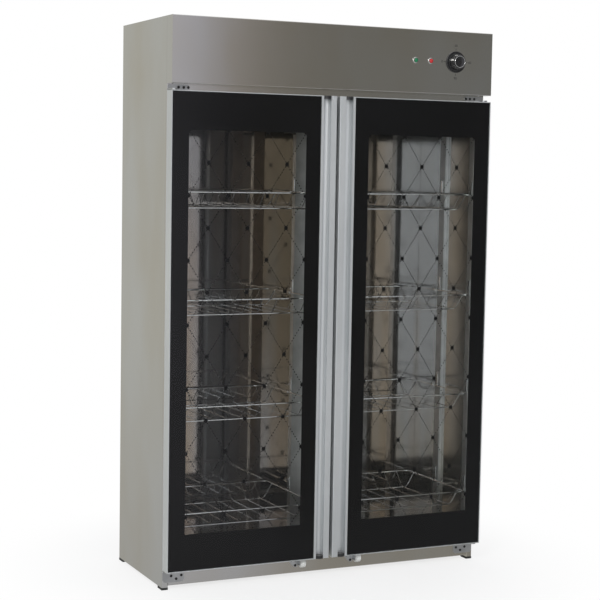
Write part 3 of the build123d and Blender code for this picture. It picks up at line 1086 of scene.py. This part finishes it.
@dataclass
class DoorWheel(Fitting):
    """White wheel under the free end of one door."""

    side: Side = Side.LEFT
    round_edge: float = 0.0018
    edge_share: float = 0.3
    hub_share: float = 0.45
    hub_floor: float = 0.9
    hub_recess: float = 0.0016
    sides: int = 64

    def build(self) -> None:
        """Turn the wheel in the place of its CAD node."""
        node = f"{self.side.label}_door_wheel"
        low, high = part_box(node)
        width = high.x - low.x
        radius = (high.z - low.z) / 2
        centre = Vector((low.x, (low.y + high.y) / 2, (low.z + high.z) / 2))
        hub = radius * self.hub_share
        edge = self.round_edge
        eased = self.edge_share * edge
        profile = (
            (self.hub_recess, hub * self.hub_floor),
            (0.0, hub),
            (0.0, radius - edge),
            (eased, radius - eased),
            (edge, radius),
            (width - edge, radius),
            (width - eased, radius - eased),
            (width, radius - edge),
            (width, hub),
            (width - self.hub_recess, hub * self.hub_floor),
        )
        wheel = turned(node + "_tread", centre, Facing.RIGHT, profile, self.sides)
        self.fit(wheel, Trim.NYLON, f"{self.side.label}_wheel", "white_nylon", node)


@dataclass
class CableGland(Fitting):
    """Gland on the back that a mains lead would pass through."""

    outline: Outline = (
        (0.0, 0.9),
        (0.30, 0.9),
        (0.30, 0.70),
        (0.36, 0.70),
        (0.36, 1.0),
        (0.62, 1.0),
        (0.66, 0.86),
        (0.92, 0.78),
        (1.0, 0.62),
    )
    bore: float = 0.005
    bore_floor: float = 0.40
    sides: int = 48

    def build(self) -> None:
        """Turn the gland's dome and nut in the place of its CAD node."""
        low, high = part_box("cable_gland")
        radius = (high.x - low.x) / 2
        reach = high.y - low.y
        centre = Vector(((low.x + high.x) / 2, low.y, (low.z + high.z) / 2))
        profile = scaled(self.outline, reach, radius)
        profile += [(reach, self.bore), (self.bore_floor * reach, self.bore)]
        gland = turned("cable_gland_dome", centre, Facing.BACK, profile, self.sides)
        self.fit(gland, Trim.MOULDED_BLACK, "cabinet", "black_plastic", "cable_gland")


# ------------------------------------------------------------------ header


class Signal(Enum):
    """Colours of the pilot lamps, with the finish of each lens."""

    GREEN = Trim.GREEN_LENS
    RED = Trim.RED_LENS

    @property
    def label(self) -> str:
        """Word that starts the names of this lamp's pieces."""
        return self.name.lower()


@dataclass
class PilotLamp(Fitting):
    """Round pilot lamp: a chrome bezel round a coloured lens."""

    signal: Signal = Signal.GREEN
    lens_root: float = -0.004
    lens_outline: Outline = ((0.60, 1.0), (0.78, 0.90), (0.92, 0.68), (1.0, 0.34))
    bezel_outline: Outline = ((0.0, 1.0), (0.25, 1.0), (0.70, 0.93), (1.0, 0.82))
    bezel_opening: float = 0.0008
    bezel_fit: float = 0.0002
    bezel_throat: float = 0.5
    sides: int = 56

    def build(self) -> bpy.types.Object:
        """Turn the lens and its bezel at the CAD lamp's place.

        Returns:
            The bezel, which the caller joins to the other lamp's.
        """
        label = self.signal.label
        node = f"{label}_lamp"
        low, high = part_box(node)
        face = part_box("header_panel")[0].y
        radius = (high.x - low.x) / 2
        centre = Vector(((low.x + high.x) / 2, face, (low.z + high.z) / 2))
        dome = [(self.lens_root, radius), *scaled(self.lens_outline, face - low.y, radius)]
        lens = turned(node + "_lens", centre, Facing.FRONT, dome, self.sides)
        self.fit(lens, self.signal.value, "cabinet", f"{label}_lens", node)
        bezel_low, bezel_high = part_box("lamp_bezels")
        rim = bezel_high.y - bezel_low.y
        profile = scaled(self.bezel_outline, rim, (bezel_high.z - bezel_low.z) / 2)
        profile.append((rim, radius + self.bezel_opening))
        profile.append((self.bezel_throat * rim, radius + self.bezel_fit))
        return turned(f"{label}_bezel", centre, Facing.FRONT, profile, self.sides)


@dataclass
class TimerKnob(Fitting):
    """Black timer knob with a fluted grip and a chrome ring on its nose."""

    skirt_depth: float = 0.0047
    skirt_edge: float = 0.0007
    grip_root: float = 0.0285
    grip_nose: float = 0.0236
    nose_edge: float = 0.0012
    dish_rim: float = 0.75
    dish_foot: float = 0.70
    dish_middle: float = 0.1
    dish_depth: float = 0.0006
    middle_depth: float = 0.0004
    flute_depth: float = 0.0007
    flute_margin: float = 0.0006
    grip_reach: float = 0.001
    ring_wire: float = 0.0009
    ring_sides: int = 96
    ring_wire_sides: int = 12
    sides: int = 72

    def profile(self, skirt: float, gap: float, nose: float) -> list[tuple[float, float]]:
        """Draw the knob's half section.

        Args:
            skirt: Radius of the skirt.
            gap: Depth at which the skirt starts.
            nose: Depth of the nose.

        Returns:
            Depth and radius of each ring.
        """
        step = gap + self.skirt_depth
        return [
            (gap, skirt),
            (step - self.skirt_edge, skirt),
            (step, skirt - self.skirt_edge),
            (step, self.grip_root + self.skirt_edge),
            (step + self.skirt_edge, self.grip_root),
            (nose - self.nose_edge, self.grip_nose),
            (nose, self.grip_nose - self.nose_edge),
            (nose, self.dish_rim * self.grip_nose),
            (nose - self.dish_depth, self.dish_foot * self.grip_nose),
            (nose - self.middle_depth, self.dish_middle * self.grip_nose),
        ]

    def cut_flutes(self, knob: bpy.types.Object, centre: Vector, grip_middle: float) -> None:
        """Sink every second face round the grip.

        Args:
            knob: The turned knob.
            centre: Point of its axis.
            grip_middle: Y of the grip's middle.
        """
        spacing = 2 * math.pi / (self.sides // 2)

        def on_flute(middle: Vector) -> bool:
            """Tell every second face round the grip from the others."""
            turn = math.atan2(middle.z - centre.z, middle.x - centre.x) % spacing
            return abs(middle.y - grip_middle) < self.grip_reach and turn < spacing / 2

        with Editing(knob) as edit:
            edit.pick(on_flute)
            bpy.ops.mesh.inset(
                thickness=self.flute_margin, depth=-self.flute_depth, use_individual=True
            )
        soften(knob)

    def build(self) -> None:
        """Turn the knob, cut its flutes and add the ring."""
        low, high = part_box("timer_knob")
        ring_low, ring_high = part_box("knob_ring")
        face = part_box("header_panel")[0].y
        centre = Vector(((low.x + high.x) / 2, face, (low.z + high.z) / 2))
        gap = face - high.y
        nose = face - low.y
        profile = self.profile((high.x - low.x) / 2, gap, nose)
        knob = turned("timer_knob_grip", centre, Facing.FRONT, profile, self.sides)
        self.cut_flutes(knob, centre, face - (gap + self.skirt_depth + nose) / 2)
        self.fit(knob, Trim.KNOB_BLACK, "timer", "black_plastic", "timer_knob")
        deselect_all()
        bpy.ops.mesh.primitive_torus_add(
            major_radius=(ring_high.x - ring_low.x) / 2 - self.ring_wire,
            minor_radius=self.ring_wire,
            major_segments=self.ring_sides,
            minor_segments=self.ring_wire_sides,
            location=Vector((centre.x, face - nose, centre.z)),
            rotation=Facing.FRONT.turn,
        )
        ring = settle(bpy.context.object, "timer_knob_ring")
        soften(ring)
        self.fit(ring, Trim.CHROME, "timer", "bright_wire", "knob_ring")


@dataclass
class DialScale(Fitting):
    """Ticks and minutes printed round the knob."""

    marks: tuple[tuple[str, float], ...] = (
        ("0", 180.0),
        ("30", 90.0),
        ("60", 0.0),
        ("90", 270.0),
    )
    tick_start: float = 0.0405
    tick_end: float = 0.0475
    tick_width: float = 0.0018
    number_radius: float = 0.0545
    number_height: float = 0.0120
    digit_shift: float = 0.002
    ink: float = 0.0001
    ink_edge: float = 1 / 3

    def tick(self, centre: Vector, angle: float) -> bpy.types.Object:
        """Model one tick that points away from the knob's axis.

        Args:
            centre: Point of the axis on the header's face.
            angle: Its place round the knob in degrees.

        Returns:
            The tick.
        """
        half = Vector(((self.tick_end - self.tick_start) / 2, self.ink / 2, self.tick_width / 2))
        mark = block("tick", -half, half, self.ink * self.ink_edge)
        middle = (self.tick_start + self.tick_end) / 2
        place = (
            Matrix.Translation(centre + Vector((0.0, -self.ink / 2, 0.0)))
            @ Matrix.Rotation(-math.radians(angle), 4, "Y")
            @ Matrix.Translation((middle, 0.0, 0.0))
        )
        mark.data.transform(place)
        return mark

    def number(self, centre: Vector, text: str, angle: float) -> bpy.types.Object:
        """Model one number as thin raised ink.

        Args:
            centre: Point of the knob's axis on the header's face.
            text: The number.
            angle: Its place round the knob in degrees.

        Returns:
            The number.
        """
        reach = self.number_radius + self.digit_shift * (len(text) - 1)
        outward = Vector((math.cos(math.radians(angle)), 0.0, math.sin(math.radians(angle))))
        deselect_all()
        bpy.ops.object.text_add(rotation=Facing.FRONT.turn)
        letters = bpy.context.object
        letters.data.body = text
        letters.data.size = self.number_height
        letters.data.align_x = "CENTER"
        letters.data.align_y = "CENTER"
        letters.data.extrude = self.ink / 2
        activate(letters)
        bpy.ops.object.convert(target="MESH")
        letters.location = centre + outward * reach - Vector((0.0, self.ink / 2, 0.0))
        return settle(letters, "number_" + text)

    def build(self) -> None:
        """Print the whole scale on the header."""
        low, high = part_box("timer_knob")
        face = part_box("header_panel")[0].y
        centre = Vector(((low.x + high.x) / 2, face, (low.z + high.z) / 2))
        prints = []
        for text, angle in self.marks:
            prints.append(self.tick(centre, angle))
            prints.append(self.number(centre, text, angle))
        scale = joined(prints, "dial_scale")
        self.fit(scale, Trim.DIAL_INK, "cabinet", "black_plastic")


# ------------------------------------------------------------------ doors


@dataclass
class Lattice:
    """Printed lattice of dotted diamonds with a round spot at each crossing."""

    columns: int = 3
    half_height: float = 0.10635
    steps: int = 12
    dot: float = 0.0023
    dot_sides: int = 8
    spot: float = 0.0072
    spot_sides: int = 20
    spare_lines: int = 2
    ink: float = 0.00008
    outline: Outline = ((0.0, 1.0), (0.6, 1.0), (1.0, 0.94))

    def disc(self, radius: float, sides: int, place: Vector) -> bpy.types.Object:
        """Model one flat disc of ink."""
        return turned("ink", place, Facing.FRONT, scaled(self.outline, self.ink, radius), sides)

    def repeated(self, piece: bpy.types.Object, count: int, step: Vector) -> None:
        """Repeat a piece at an even step."""
        shape_with(
            piece,
            "ARRAY",
            count=count,
            use_relative_offset=False,
            use_constant_offset=True,
            constant_offset_displace=step,
        )

    def build(self, low: Vector, high: Vector, name: str) -> bpy.types.Object:
        """Print the lattice on one window.

        Args:
            low: Window's lower left corner, on the glass's back.
            high: Window's upper right corner.
            name: Name of the piece.

        Returns:
            The whole lattice, cut off at the window's edges.
        """
        pitch = (high.x - low.x) / self.columns
        rows = math.ceil((high.z - low.z) / self.half_height)
        dots = rows * self.steps + 1
        prints = []
        for way in (-1, 1):
            step = Vector((way * pitch / 2, 0.0, -self.half_height)) / self.steps
            reach = math.ceil(dots * abs(step.x) / pitch)
            start = low.x if way > 0 else low.x - pitch
            first = Vector((start - (reach if way > 0 else 0) * pitch, low.y, high.z))
            line = self.disc(self.dot, self.dot_sides, first)
            self.repeated(line, dots, step)
            lines = reach + self.columns + self.spare_lines
            self.repeated(line, lines, Vector((pitch, 0.0, 0.0)))
            prints.append(line)
        for offset in (0, 1):
            first = Vector((low.x + offset * pitch / 2, low.y, high.z - offset * self.half_height))
            spots = self.disc(self.spot, self.spot_sides, first)
            self.repeated(spots, self.columns + 1, Vector((pitch, 0.0, 0.0)))
            self.repeated(spots, rows // 2 + 1, Vector((0.0, 0.0, -2 * self.half_height)))
            prints.append(spots)
        lattice = joined(prints, name)
        with Editing(lattice) as edit:
            edit.cut((high.x, 0.0, 0.0), (1.0, 0.0, 0.0), clear=True)
            edit.cut((low.x, 0.0, 0.0), (-1.0, 0.0, 0.0), clear=True)
            edit.cut((0.0, 0.0, high.z), (0.0, 0.0, 1.0), clear=True)
            edit.cut((0.0, 0.0, low.z), (0.0, 0.0, -1.0), clear=True)
        return lattice


@dataclass
class GlassDoor(Fitting):
    """One door: a pane with a black printed border and a dotted lattice, and its profiles."""

    side: Side = Side.LEFT
    border_outer: float = 0.059
    border_inner: float = 0.054
    border_top: float = 0.124
    border_bottom: float = 0.122
    pane: float = 0.0038
    print_depth: float = 0.0035
    film: float = 0.00008
    edge: float = 0.0005

    def window(self, low: Vector, high: Vector) -> tuple[Vector, Vector]:
        """Work out the clear window inside the printed border, at the print's depth.

        Args:
            low: Lowest corner of the CAD glass.
            high: Its highest corner.

        Returns:
            The window's lower left and upper right corners.
        """
        left, right = (
            (self.border_outer, self.border_inner)
            if self.side is Side.LEFT
            else (self.border_inner, self.border_outer)
        )
        back = low.y + self.print_depth
        return (
            Vector((low.x + left, back, low.z + self.border_bottom)),
            Vector((high.x - right, back, high.z - self.border_top)),
        )

    def border(self, low: Vector, high: Vector) -> bpy.types.Object:
        """Model the black print as a thin film with the window cut out.

        Args:
            low: Lowest corner of the CAD glass.
            high: Its highest corner.

        Returns:
            The film.
        """
        inner_low, inner_high = self.window(low, high)
        inset = self.edge
        deselect_all()
        middle = (low + high) / 2
        bpy.ops.mesh.primitive_plane_add(
            size=1.0,
            location=(middle.x, low.y + self.print_depth + self.film, middle.z),
            rotation=Facing.FRONT.turn,
        )
        film = bpy.context.object
        film.scale = (high.x - low.x - 2 * inset, high.z - low.z - 2 * inset, 1.0)
        settle(film, f"{self.side.label}_door_print")
        with Editing(film) as edit:
            edit.cut((inner_low.x, 0.0, 0.0), (1.0, 0.0, 0.0))
            edit.cut((inner_high.x, 0.0, 0.0), (1.0, 0.0, 0.0))
            edit.cut((0.0, 0.0, inner_low.z), (0.0, 0.0, 1.0))
            edit.cut((0.0, 0.0, inner_high.z), (0.0, 0.0, 1.0))

            def in_window(centre: Vector) -> bool:
                """Say whether a face lies in the clear window."""
                beside = inner_low.x < centre.x < inner_high.x
                return beside and inner_low.z < centre.z < inner_high.z

            edit.pick(in_window)
            bpy.ops.mesh.delete(type="FACE")
        shape_with(film, "SOLIDIFY", thickness=self.film, offset=0.0)
        return film

    def build(self) -> None:
        """Build the pane with its prints and dress the profiles."""
        label = self.side.label
        body = f"{label}_door"
        node = f"{label}_door_glass"
        low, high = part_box(node)
        pane = block(
            f"{label}_door_pane", low, Vector((high.x, low.y + self.pane, high.z)), self.edge
        )
        self.fit(pane, Trim.DOOR_GLASS, body, "door_glass", node)
        self.fit(self.border(low, high), Trim.PRINT_BLACK, body, "door_glass")
        inner_low, inner_high = self.window(low, high)
        lattice = Lattice().build(inner_low, inner_high, f"{label}_door_lattice")
        self.fit(lattice, Trim.PRINT_BLACK, body, "door_glass")
        self.dress_nodes((f"{label}_door_frame", f"{label}_door_handle"), Trim.ANODISED)
        self.dress_nodes((f"{label}_handle_caps",), Trim.MOULDED_BLACK)
        self.dress_nodes((f"{label}_door_seal",), Trim.RUBBER)
        self.dress_nodes((f"{label}_door_bushes",), Trim.NYLON)


# ------------------------------------------------------------------ racks


@dataclass
class WireRacks(Fitting):
    """Bent and welded round-wire racks, modelled once and copied to the eight places."""

    levels: int = 4
    rim_wire: float = 0.0025
    cross_wire: float = 0.0015
    long_wire: float = 0.0020
    corner: float = 0.022
    bend: float = 0.012
    drop: float = 0.050
    trough_front: float = 0.047
    trough_back: float = 0.047
    end_slope: float = 0.033
    cross_count: int = 9
    cross_pitch: float = 0.054
    bend_steps: int = 5
    wire_sides: int = 3

    def rounded(self, points: Sequence[Vector], radius: float, closed: bool) -> list[Vector]:
        """Replace each corner of a bent wire by a short arc.

        Args:
            points: Corners of the wire's middle line.
            radius: Distance from a corner to where its arc starts.
            closed: Whether the last point joins the first.

        Returns:
            Points of the wire with its bends.
        """
        count = len(points)
        bent: list[Vector] = []
        for index, point in enumerate(points):
            if not closed and index in (0, count - 1):
                bent.append(point)
                continue
            before = points[index - 1]
            after = points[(index + 1) % count]
            start = point + (before - point).normalized() * radius
            end = point + (after - point).normalized() * radius
            for step in range(self.bend_steps + 1):
                share = step / self.bend_steps
                first = start.lerp(point, share)
                second = point.lerp(end, share)
                bent.append(first.lerp(second, share))
        return bent

    def wires(
        self, paths: Sequence[Sequence[Vector]], radius: float, closed: bool
    ) -> bpy.types.Object:
        """Draw wires of one thickness along their paths.

        Args:
            paths: Points of each wire.
            radius: Wire's radius.
            closed: Whether each wire is a loop.

        Returns:
            One mesh with all the wires.
        """
        curve = bpy.data.curves.new("wires", "CURVE")
        curve.dimensions = "3D"
        curve.bevel_depth = radius
        curve.bevel_resolution = self.wire_sides
        curve.use_fill_caps = True
        for path in paths:
            spline = curve.splines.new("POLY")
            spline.points.add(len(path) - 1)
            for target, point in zip(spline.points, path):
                target.co = (*point, 1.0)
            spline.use_cyclic_u = closed
        drawn = bpy.data.objects.new("wires", curve)
        bpy.context.scene.collection.objects.link(drawn)
        activate(drawn)
        bpy.ops.object.convert(target="MESH")
        return drawn

    def one_rack(self, low: Vector, high: Vector, name: str) -> bpy.types.Object:
        """Model the rack that fills a CAD rack's box.

        Args:
            low: Lowest corner of the CAD rack.
            high: Highest corner.
            name: Name of the rack.

        Returns:
            The finished rack.
        """
        wire = self.rim_wire
        left, right = low.x + wire, high.x - wire
        front, back = low.y + wire, high.y - wire
        rim = high.z - wire
        floor = rim - self.drop
        under = floor - self.cross_wire - self.long_wire
        loop = [
            Vector((left, front, rim)),
            Vector((right, front, rim)),
            Vector((right, back, rim)),
            Vector((left, back, rim)),
        ]
        middle = (left + right) / 2
        cross = []
        for index in range(self.cross_count):
            x = middle + (index - (self.cross_count - 1) / 2) * self.cross_pitch
            corners = [
                Vector((x, front, rim)),
                Vector((x, front + self.trough_front, floor)),
                Vector((x, back - self.trough_back, floor)),
                Vector((x, back, rim)),
            ]
            cross.append(self.rounded(corners, self.bend, False))
        along = []
        for y in (front + self.trough_front, back - self.trough_back):
            corners = [
                Vector((left, y, rim)),
                Vector((left + self.end_slope, y, under)),
                Vector((right - self.end_slope, y, under)),
                Vector((right, y, rim)),
            ]
            along.append(self.rounded(corners, self.bend, False))
        pieces = [
            self.wires([self.rounded(loop, self.corner, True)], self.rim_wire, True),
            self.wires(cross, self.cross_wire, False),
            self.wires(along, self.long_wire, False),
        ]
        rack = joined(pieces, name)
        soften(rack)
        return rack

    def build(self) -> None:
        """Model the first rack and copy it to every level and side."""
        first_low, first_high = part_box("left_rack_1")
        first = self.one_rack(first_low, first_high, "left_wire_rack_1")
        for side in Side:
            for level in range(1, self.levels + 1):
                node = f"{side.label}_rack_{level}"
                low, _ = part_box(node)
                if node == "left_rack_1":
                    rack = first
                else:
                    rack = copy_of(first, f"{side.label}_wire_rack_{level}", low - first_low)
                body = f"{side.label}_shelf_{level}"
                self.fit(rack, Trim.CHROME, body, "bright_wire", node)


# ------------------------------------------------------------------ studio


@dataclass(frozen=True)
class SoftLight:
    """Soft square light that points at the middle of the cabinet."""

    name: str
    place: Triple
    size: float
    power: float
    mirrored: bool = False
    target: Triple = (0.0, 0.0, 1.0)

    def hang(self) -> None:
        """Hang the light, out of sight of the glass and of metal unless mirrored."""
        data = bpy.data.lights.new(self.name, "AREA")
        data.shape = "SQUARE"
        data.size = self.size
        data.energy = self.power
        light = bpy.data.objects.new(self.name, data)
        bpy.context.scene.collection.objects.link(light)
        aim = (Vector(self.target) - Vector(self.place)).to_track_quat("-Z", "Y")
        light.matrix_world = Matrix.Translation(self.place) @ aim.to_matrix().to_4x4()
        light.visible_glossy = self.mirrored
        light.visible_transmission = False


@dataclass(frozen=True)
class MirroredRoom:
    """Tones that metal mirrors: bands along one level direction, and the ground."""

    way: Triple = (0.85, -0.53, 0.0)
    bands: tuple[tuple[float, Colour], ...] = (
        (0.00, (0.50, 0.50, 0.46)),
        (0.12, (0.56, 0.56, 0.52)),
        (0.30, (0.70, 0.70, 0.68)),
        (0.60, (0.80, 0.81, 0.83)),
        (0.84, (0.74, 0.74, 0.77)),
        (0.895, (0.64, 0.63, 0.67)),
        (0.905, (0.36, 0.35, 0.37)),
        (0.915, (0.18, 0.17, 0.14)),
        (0.940, (0.21, 0.21, 0.20)),
        (1.00, (0.15, 0.15, 0.14)),
    )
    ground: Colour = (0.42, 0.42, 0.41)
    ground_start: float = -0.10
    ground_end: float = -0.30
    ground_share: float = 0.8

    def colour(self, board: Board) -> bpy.types.NodeSocket:
        """Work out the room's tone in each direction.

        Args:
            board: The world's node tree.

        Returns:
            The tone's socket.
        """
        direction = board.add("ShaderNodeTexCoord").outputs["Generated"]
        along = board.add("ShaderNodeVectorMath", operation="DOT_PRODUCT")
        board.link(direction, along.inputs[0])
        along.inputs[1].default_value = self.way
        ramp = board.add("ShaderNodeValToRGB")
        board.link(board.ranged(along.outputs["Value"], {"From Min": -1.0}), ramp.inputs[0])
        stops = ramp.color_ramp.elements
        for stop, (position, tone) in zip(stops, (self.bands[0], self.bands[-1])):
            stop.position, stop.color = position, solid(tone)
        for position, tone in self.bands[1:-1]:
            stops.new(position).color = solid(tone)
        height = board.add("ShaderNodeSeparateXYZ")
        board.link(direction, height.inputs[0])
        below = board.ranged(
            height.outputs["Z"],
            {
                "From Min": self.ground_start,
                "From Max": self.ground_end,
                "To Max": self.ground_share,
            },
        )
        return board.mixed(below, ramp.outputs["Color"], solid(self.ground))


@dataclass
class Studio:
    """Floor, lights, background and camera."""

    camera_place: Triple = (-2.3539, -4.9777, 1.4010)
    camera_yaw: float = 25.109
    camera_pitch: float = 4.744
    camera_roll: float = 0.987
    lens: float = 93.27
    sensor_width: float = 36.0
    view_end: float = 100.0
    white: Colour = (1.0, 1.0, 1.0)
    floor_size: float = 40.0
    floor_tone: Colour = (0.86, 0.86, 0.86)
    floor_roughness: float = 0.9
    floor_specular: float = 0.1
    fade_start: float = 0.4
    fade_end: float = 1.2
    fade_least: float = 0.75
    sky: Colour = (0.94, 0.97, 1.0)
    sky_strength: float = 0.55
    room: MirroredRoom = MirroredRoom()
    lights: tuple[SoftLight, ...] = (
        SoftLight("key_light", (-3.2, -3.6, 3.6), 1.4, 110.0, mirrored=True),
        SoftLight("fill_light", (3.6, -4.2, 2.4), 2.4, 50.0),
        SoftLight("back_light", (0.5, 4.0, 3.5), 2.4, 50.0),
    )

    def aim(self) -> Matrix:
        """Work out the camera's turn from its yaw, pitch and roll.

        Returns:
            The turn, with the camera's right, up and rear as columns.
        """
        yaw, pitch, roll = (
            math.radians(angle) for angle in (self.camera_yaw, self.camera_pitch, self.camera_roll)
        )
        ahead = Vector(
            (
                math.sin(yaw) * math.cos(pitch),
                math.cos(yaw) * math.cos(pitch),
                -math.sin(pitch),
            )
        )
        right = Vector((math.cos(yaw), -math.sin(yaw), 0.0))
        up = right.cross(ahead)
        rolled_right = math.cos(roll) * right + math.sin(roll) * up
        rolled_up = -math.sin(roll) * right + math.cos(roll) * up
        return Matrix((rolled_right, rolled_up, -ahead)).transposed()

    def set_camera(self) -> None:
        """Put the camera at the viewpoint."""
        data = bpy.data.cameras.new("viewpoint")
        data.lens = self.lens
        data.sensor_width = self.sensor_width
        data.clip_end = self.view_end
        camera = bpy.data.objects.new("viewpoint", data)
        bpy.context.scene.collection.objects.link(camera)
        camera.matrix_world = Matrix.Translation(self.camera_place) @ self.aim().to_4x4()
        bpy.context.scene.camera = camera

    def floor_material(self) -> bpy.types.Material:
        """Build a pale floor that keeps the cabinet's shadow and fades to white.

        Returns:
            The floor's material.
        """
        material = bpy.data.materials.new("studio_floor")
        material.use_nodes = True
        board = Board(material.node_tree)
        shader = material.node_tree.nodes["Principled BSDF"]
        shader.inputs["Base Color"].default_value = solid(self.floor_tone)
        shader.inputs["Roughness"].default_value = self.floor_roughness
        shader.inputs["Specular IOR Level"].default_value = self.floor_specular
        white = board.add("ShaderNodeEmission", {"Color": solid(self.white), "Strength": 1.0})
        distance = board.add("ShaderNodeVectorMath", operation="LENGTH")
        board.link(board.add("ShaderNodeTexCoord").outputs["Object"], distance.inputs[0])
        fade = board.ranged(
            distance.outputs["Value"],
            {"From Min": self.fade_start, "From Max": self.fade_end, "To Min": self.fade_least},
            interpolation_type="SMOOTHSTEP",
        )
        seen = board.add("ShaderNodeLightPath").outputs["Is Camera Ray"]
        share = board.maths("MULTIPLY", seen, fade)
        surface = board.blended(share, shader.outputs[0], white.outputs[0])
        board.link(surface, material.node_tree.nodes["Material Output"].inputs[0])
        return material

    def lay_floor(self) -> None:
        """Lay the floor, which metal and glass don't show."""
        deselect_all()
        bpy.ops.mesh.primitive_plane_add(size=self.floor_size)
        floor = settle(bpy.context.object, "studio_floor")
        floor.data.materials.append(self.floor_material())
        floor.visible_glossy = False
        floor.visible_transmission = False

    def set_world(self) -> None:
        """Light from all round, white behind the cabinet and a soft room in the metal."""
        world = bpy.data.worlds.new("studio_world")
        world.use_nodes = True
        bpy.context.scene.world = world
        board = Board(world.node_tree)
        soft = world.node_tree.nodes["Background"]
        soft.inputs["Color"].default_value = solid(self.sky)
        soft.inputs["Strength"].default_value = self.sky_strength
        white = board.add("ShaderNodeBackground", {"Color": solid(self.white), "Strength": 1.0})
        room = board.add("ShaderNodeBackground", {"Strength": 1.0})
        board.link(self.room.colour(board), room.inputs["Color"])
        path = board.add("ShaderNodeLightPath").outputs
        mirrored = board.maths("MINIMUM", path["Glossy Depth"], 1.0)
        seen = board.maths("MAXIMUM", path["Is Camera Ray"], path["Is Transmission Ray"])
        clear = board.maths("MULTIPLY", seen, board.maths("SUBTRACT", 1.0, mirrored))
        indoors = board.blended(mirrored, soft.outputs[0], room.outputs[0])
        final = board.blended(clear, indoors, white.outputs[0])
        board.link(final, world.node_tree.nodes["World Output"].inputs["Surface"])

    def build(self) -> None:
        """Set up the whole studio."""
        self.set_camera()
        self.lay_floor()
        self.set_world()
        for light in self.lights:
            light.hang()
        bpy.context.scene.view_settings.view_transform = "Standard"


# ------------------------------------------------------------------ assembly


def main() -> None:
    """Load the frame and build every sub-assembly."""
    logging.basicConfig(level=logging.INFO, format="%(name)s: %(message)s")
    bpy.ops.object.select_all(action="SELECT")
    bpy.ops.object.delete()
    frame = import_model()
    shared = (Wardrobe(), frame["nodes"])
    CabinetBody(*shared).build()
    BracketScrews(*shared).build()
    CableGland(*shared).build()
    rims = [PilotLamp(*shared, signal=signal).build() for signal in Signal]
    bezels = joined(rims, "pilot_lamp_bezels")
    Fitting(*shared).fit(bezels, Trim.CHROME, "cabinet", "bright_wire", "lamp_bezels")
    TimerKnob(*shared).build()
    DialScale(*shared).build()
    for side in Side:
        GlassDoor(*shared, side=side).build()
        DoorWheel(*shared, side=side).build()
    WireRacks(*shared).build()
    Studio().build()


if __name__ == "__main__":
    main()
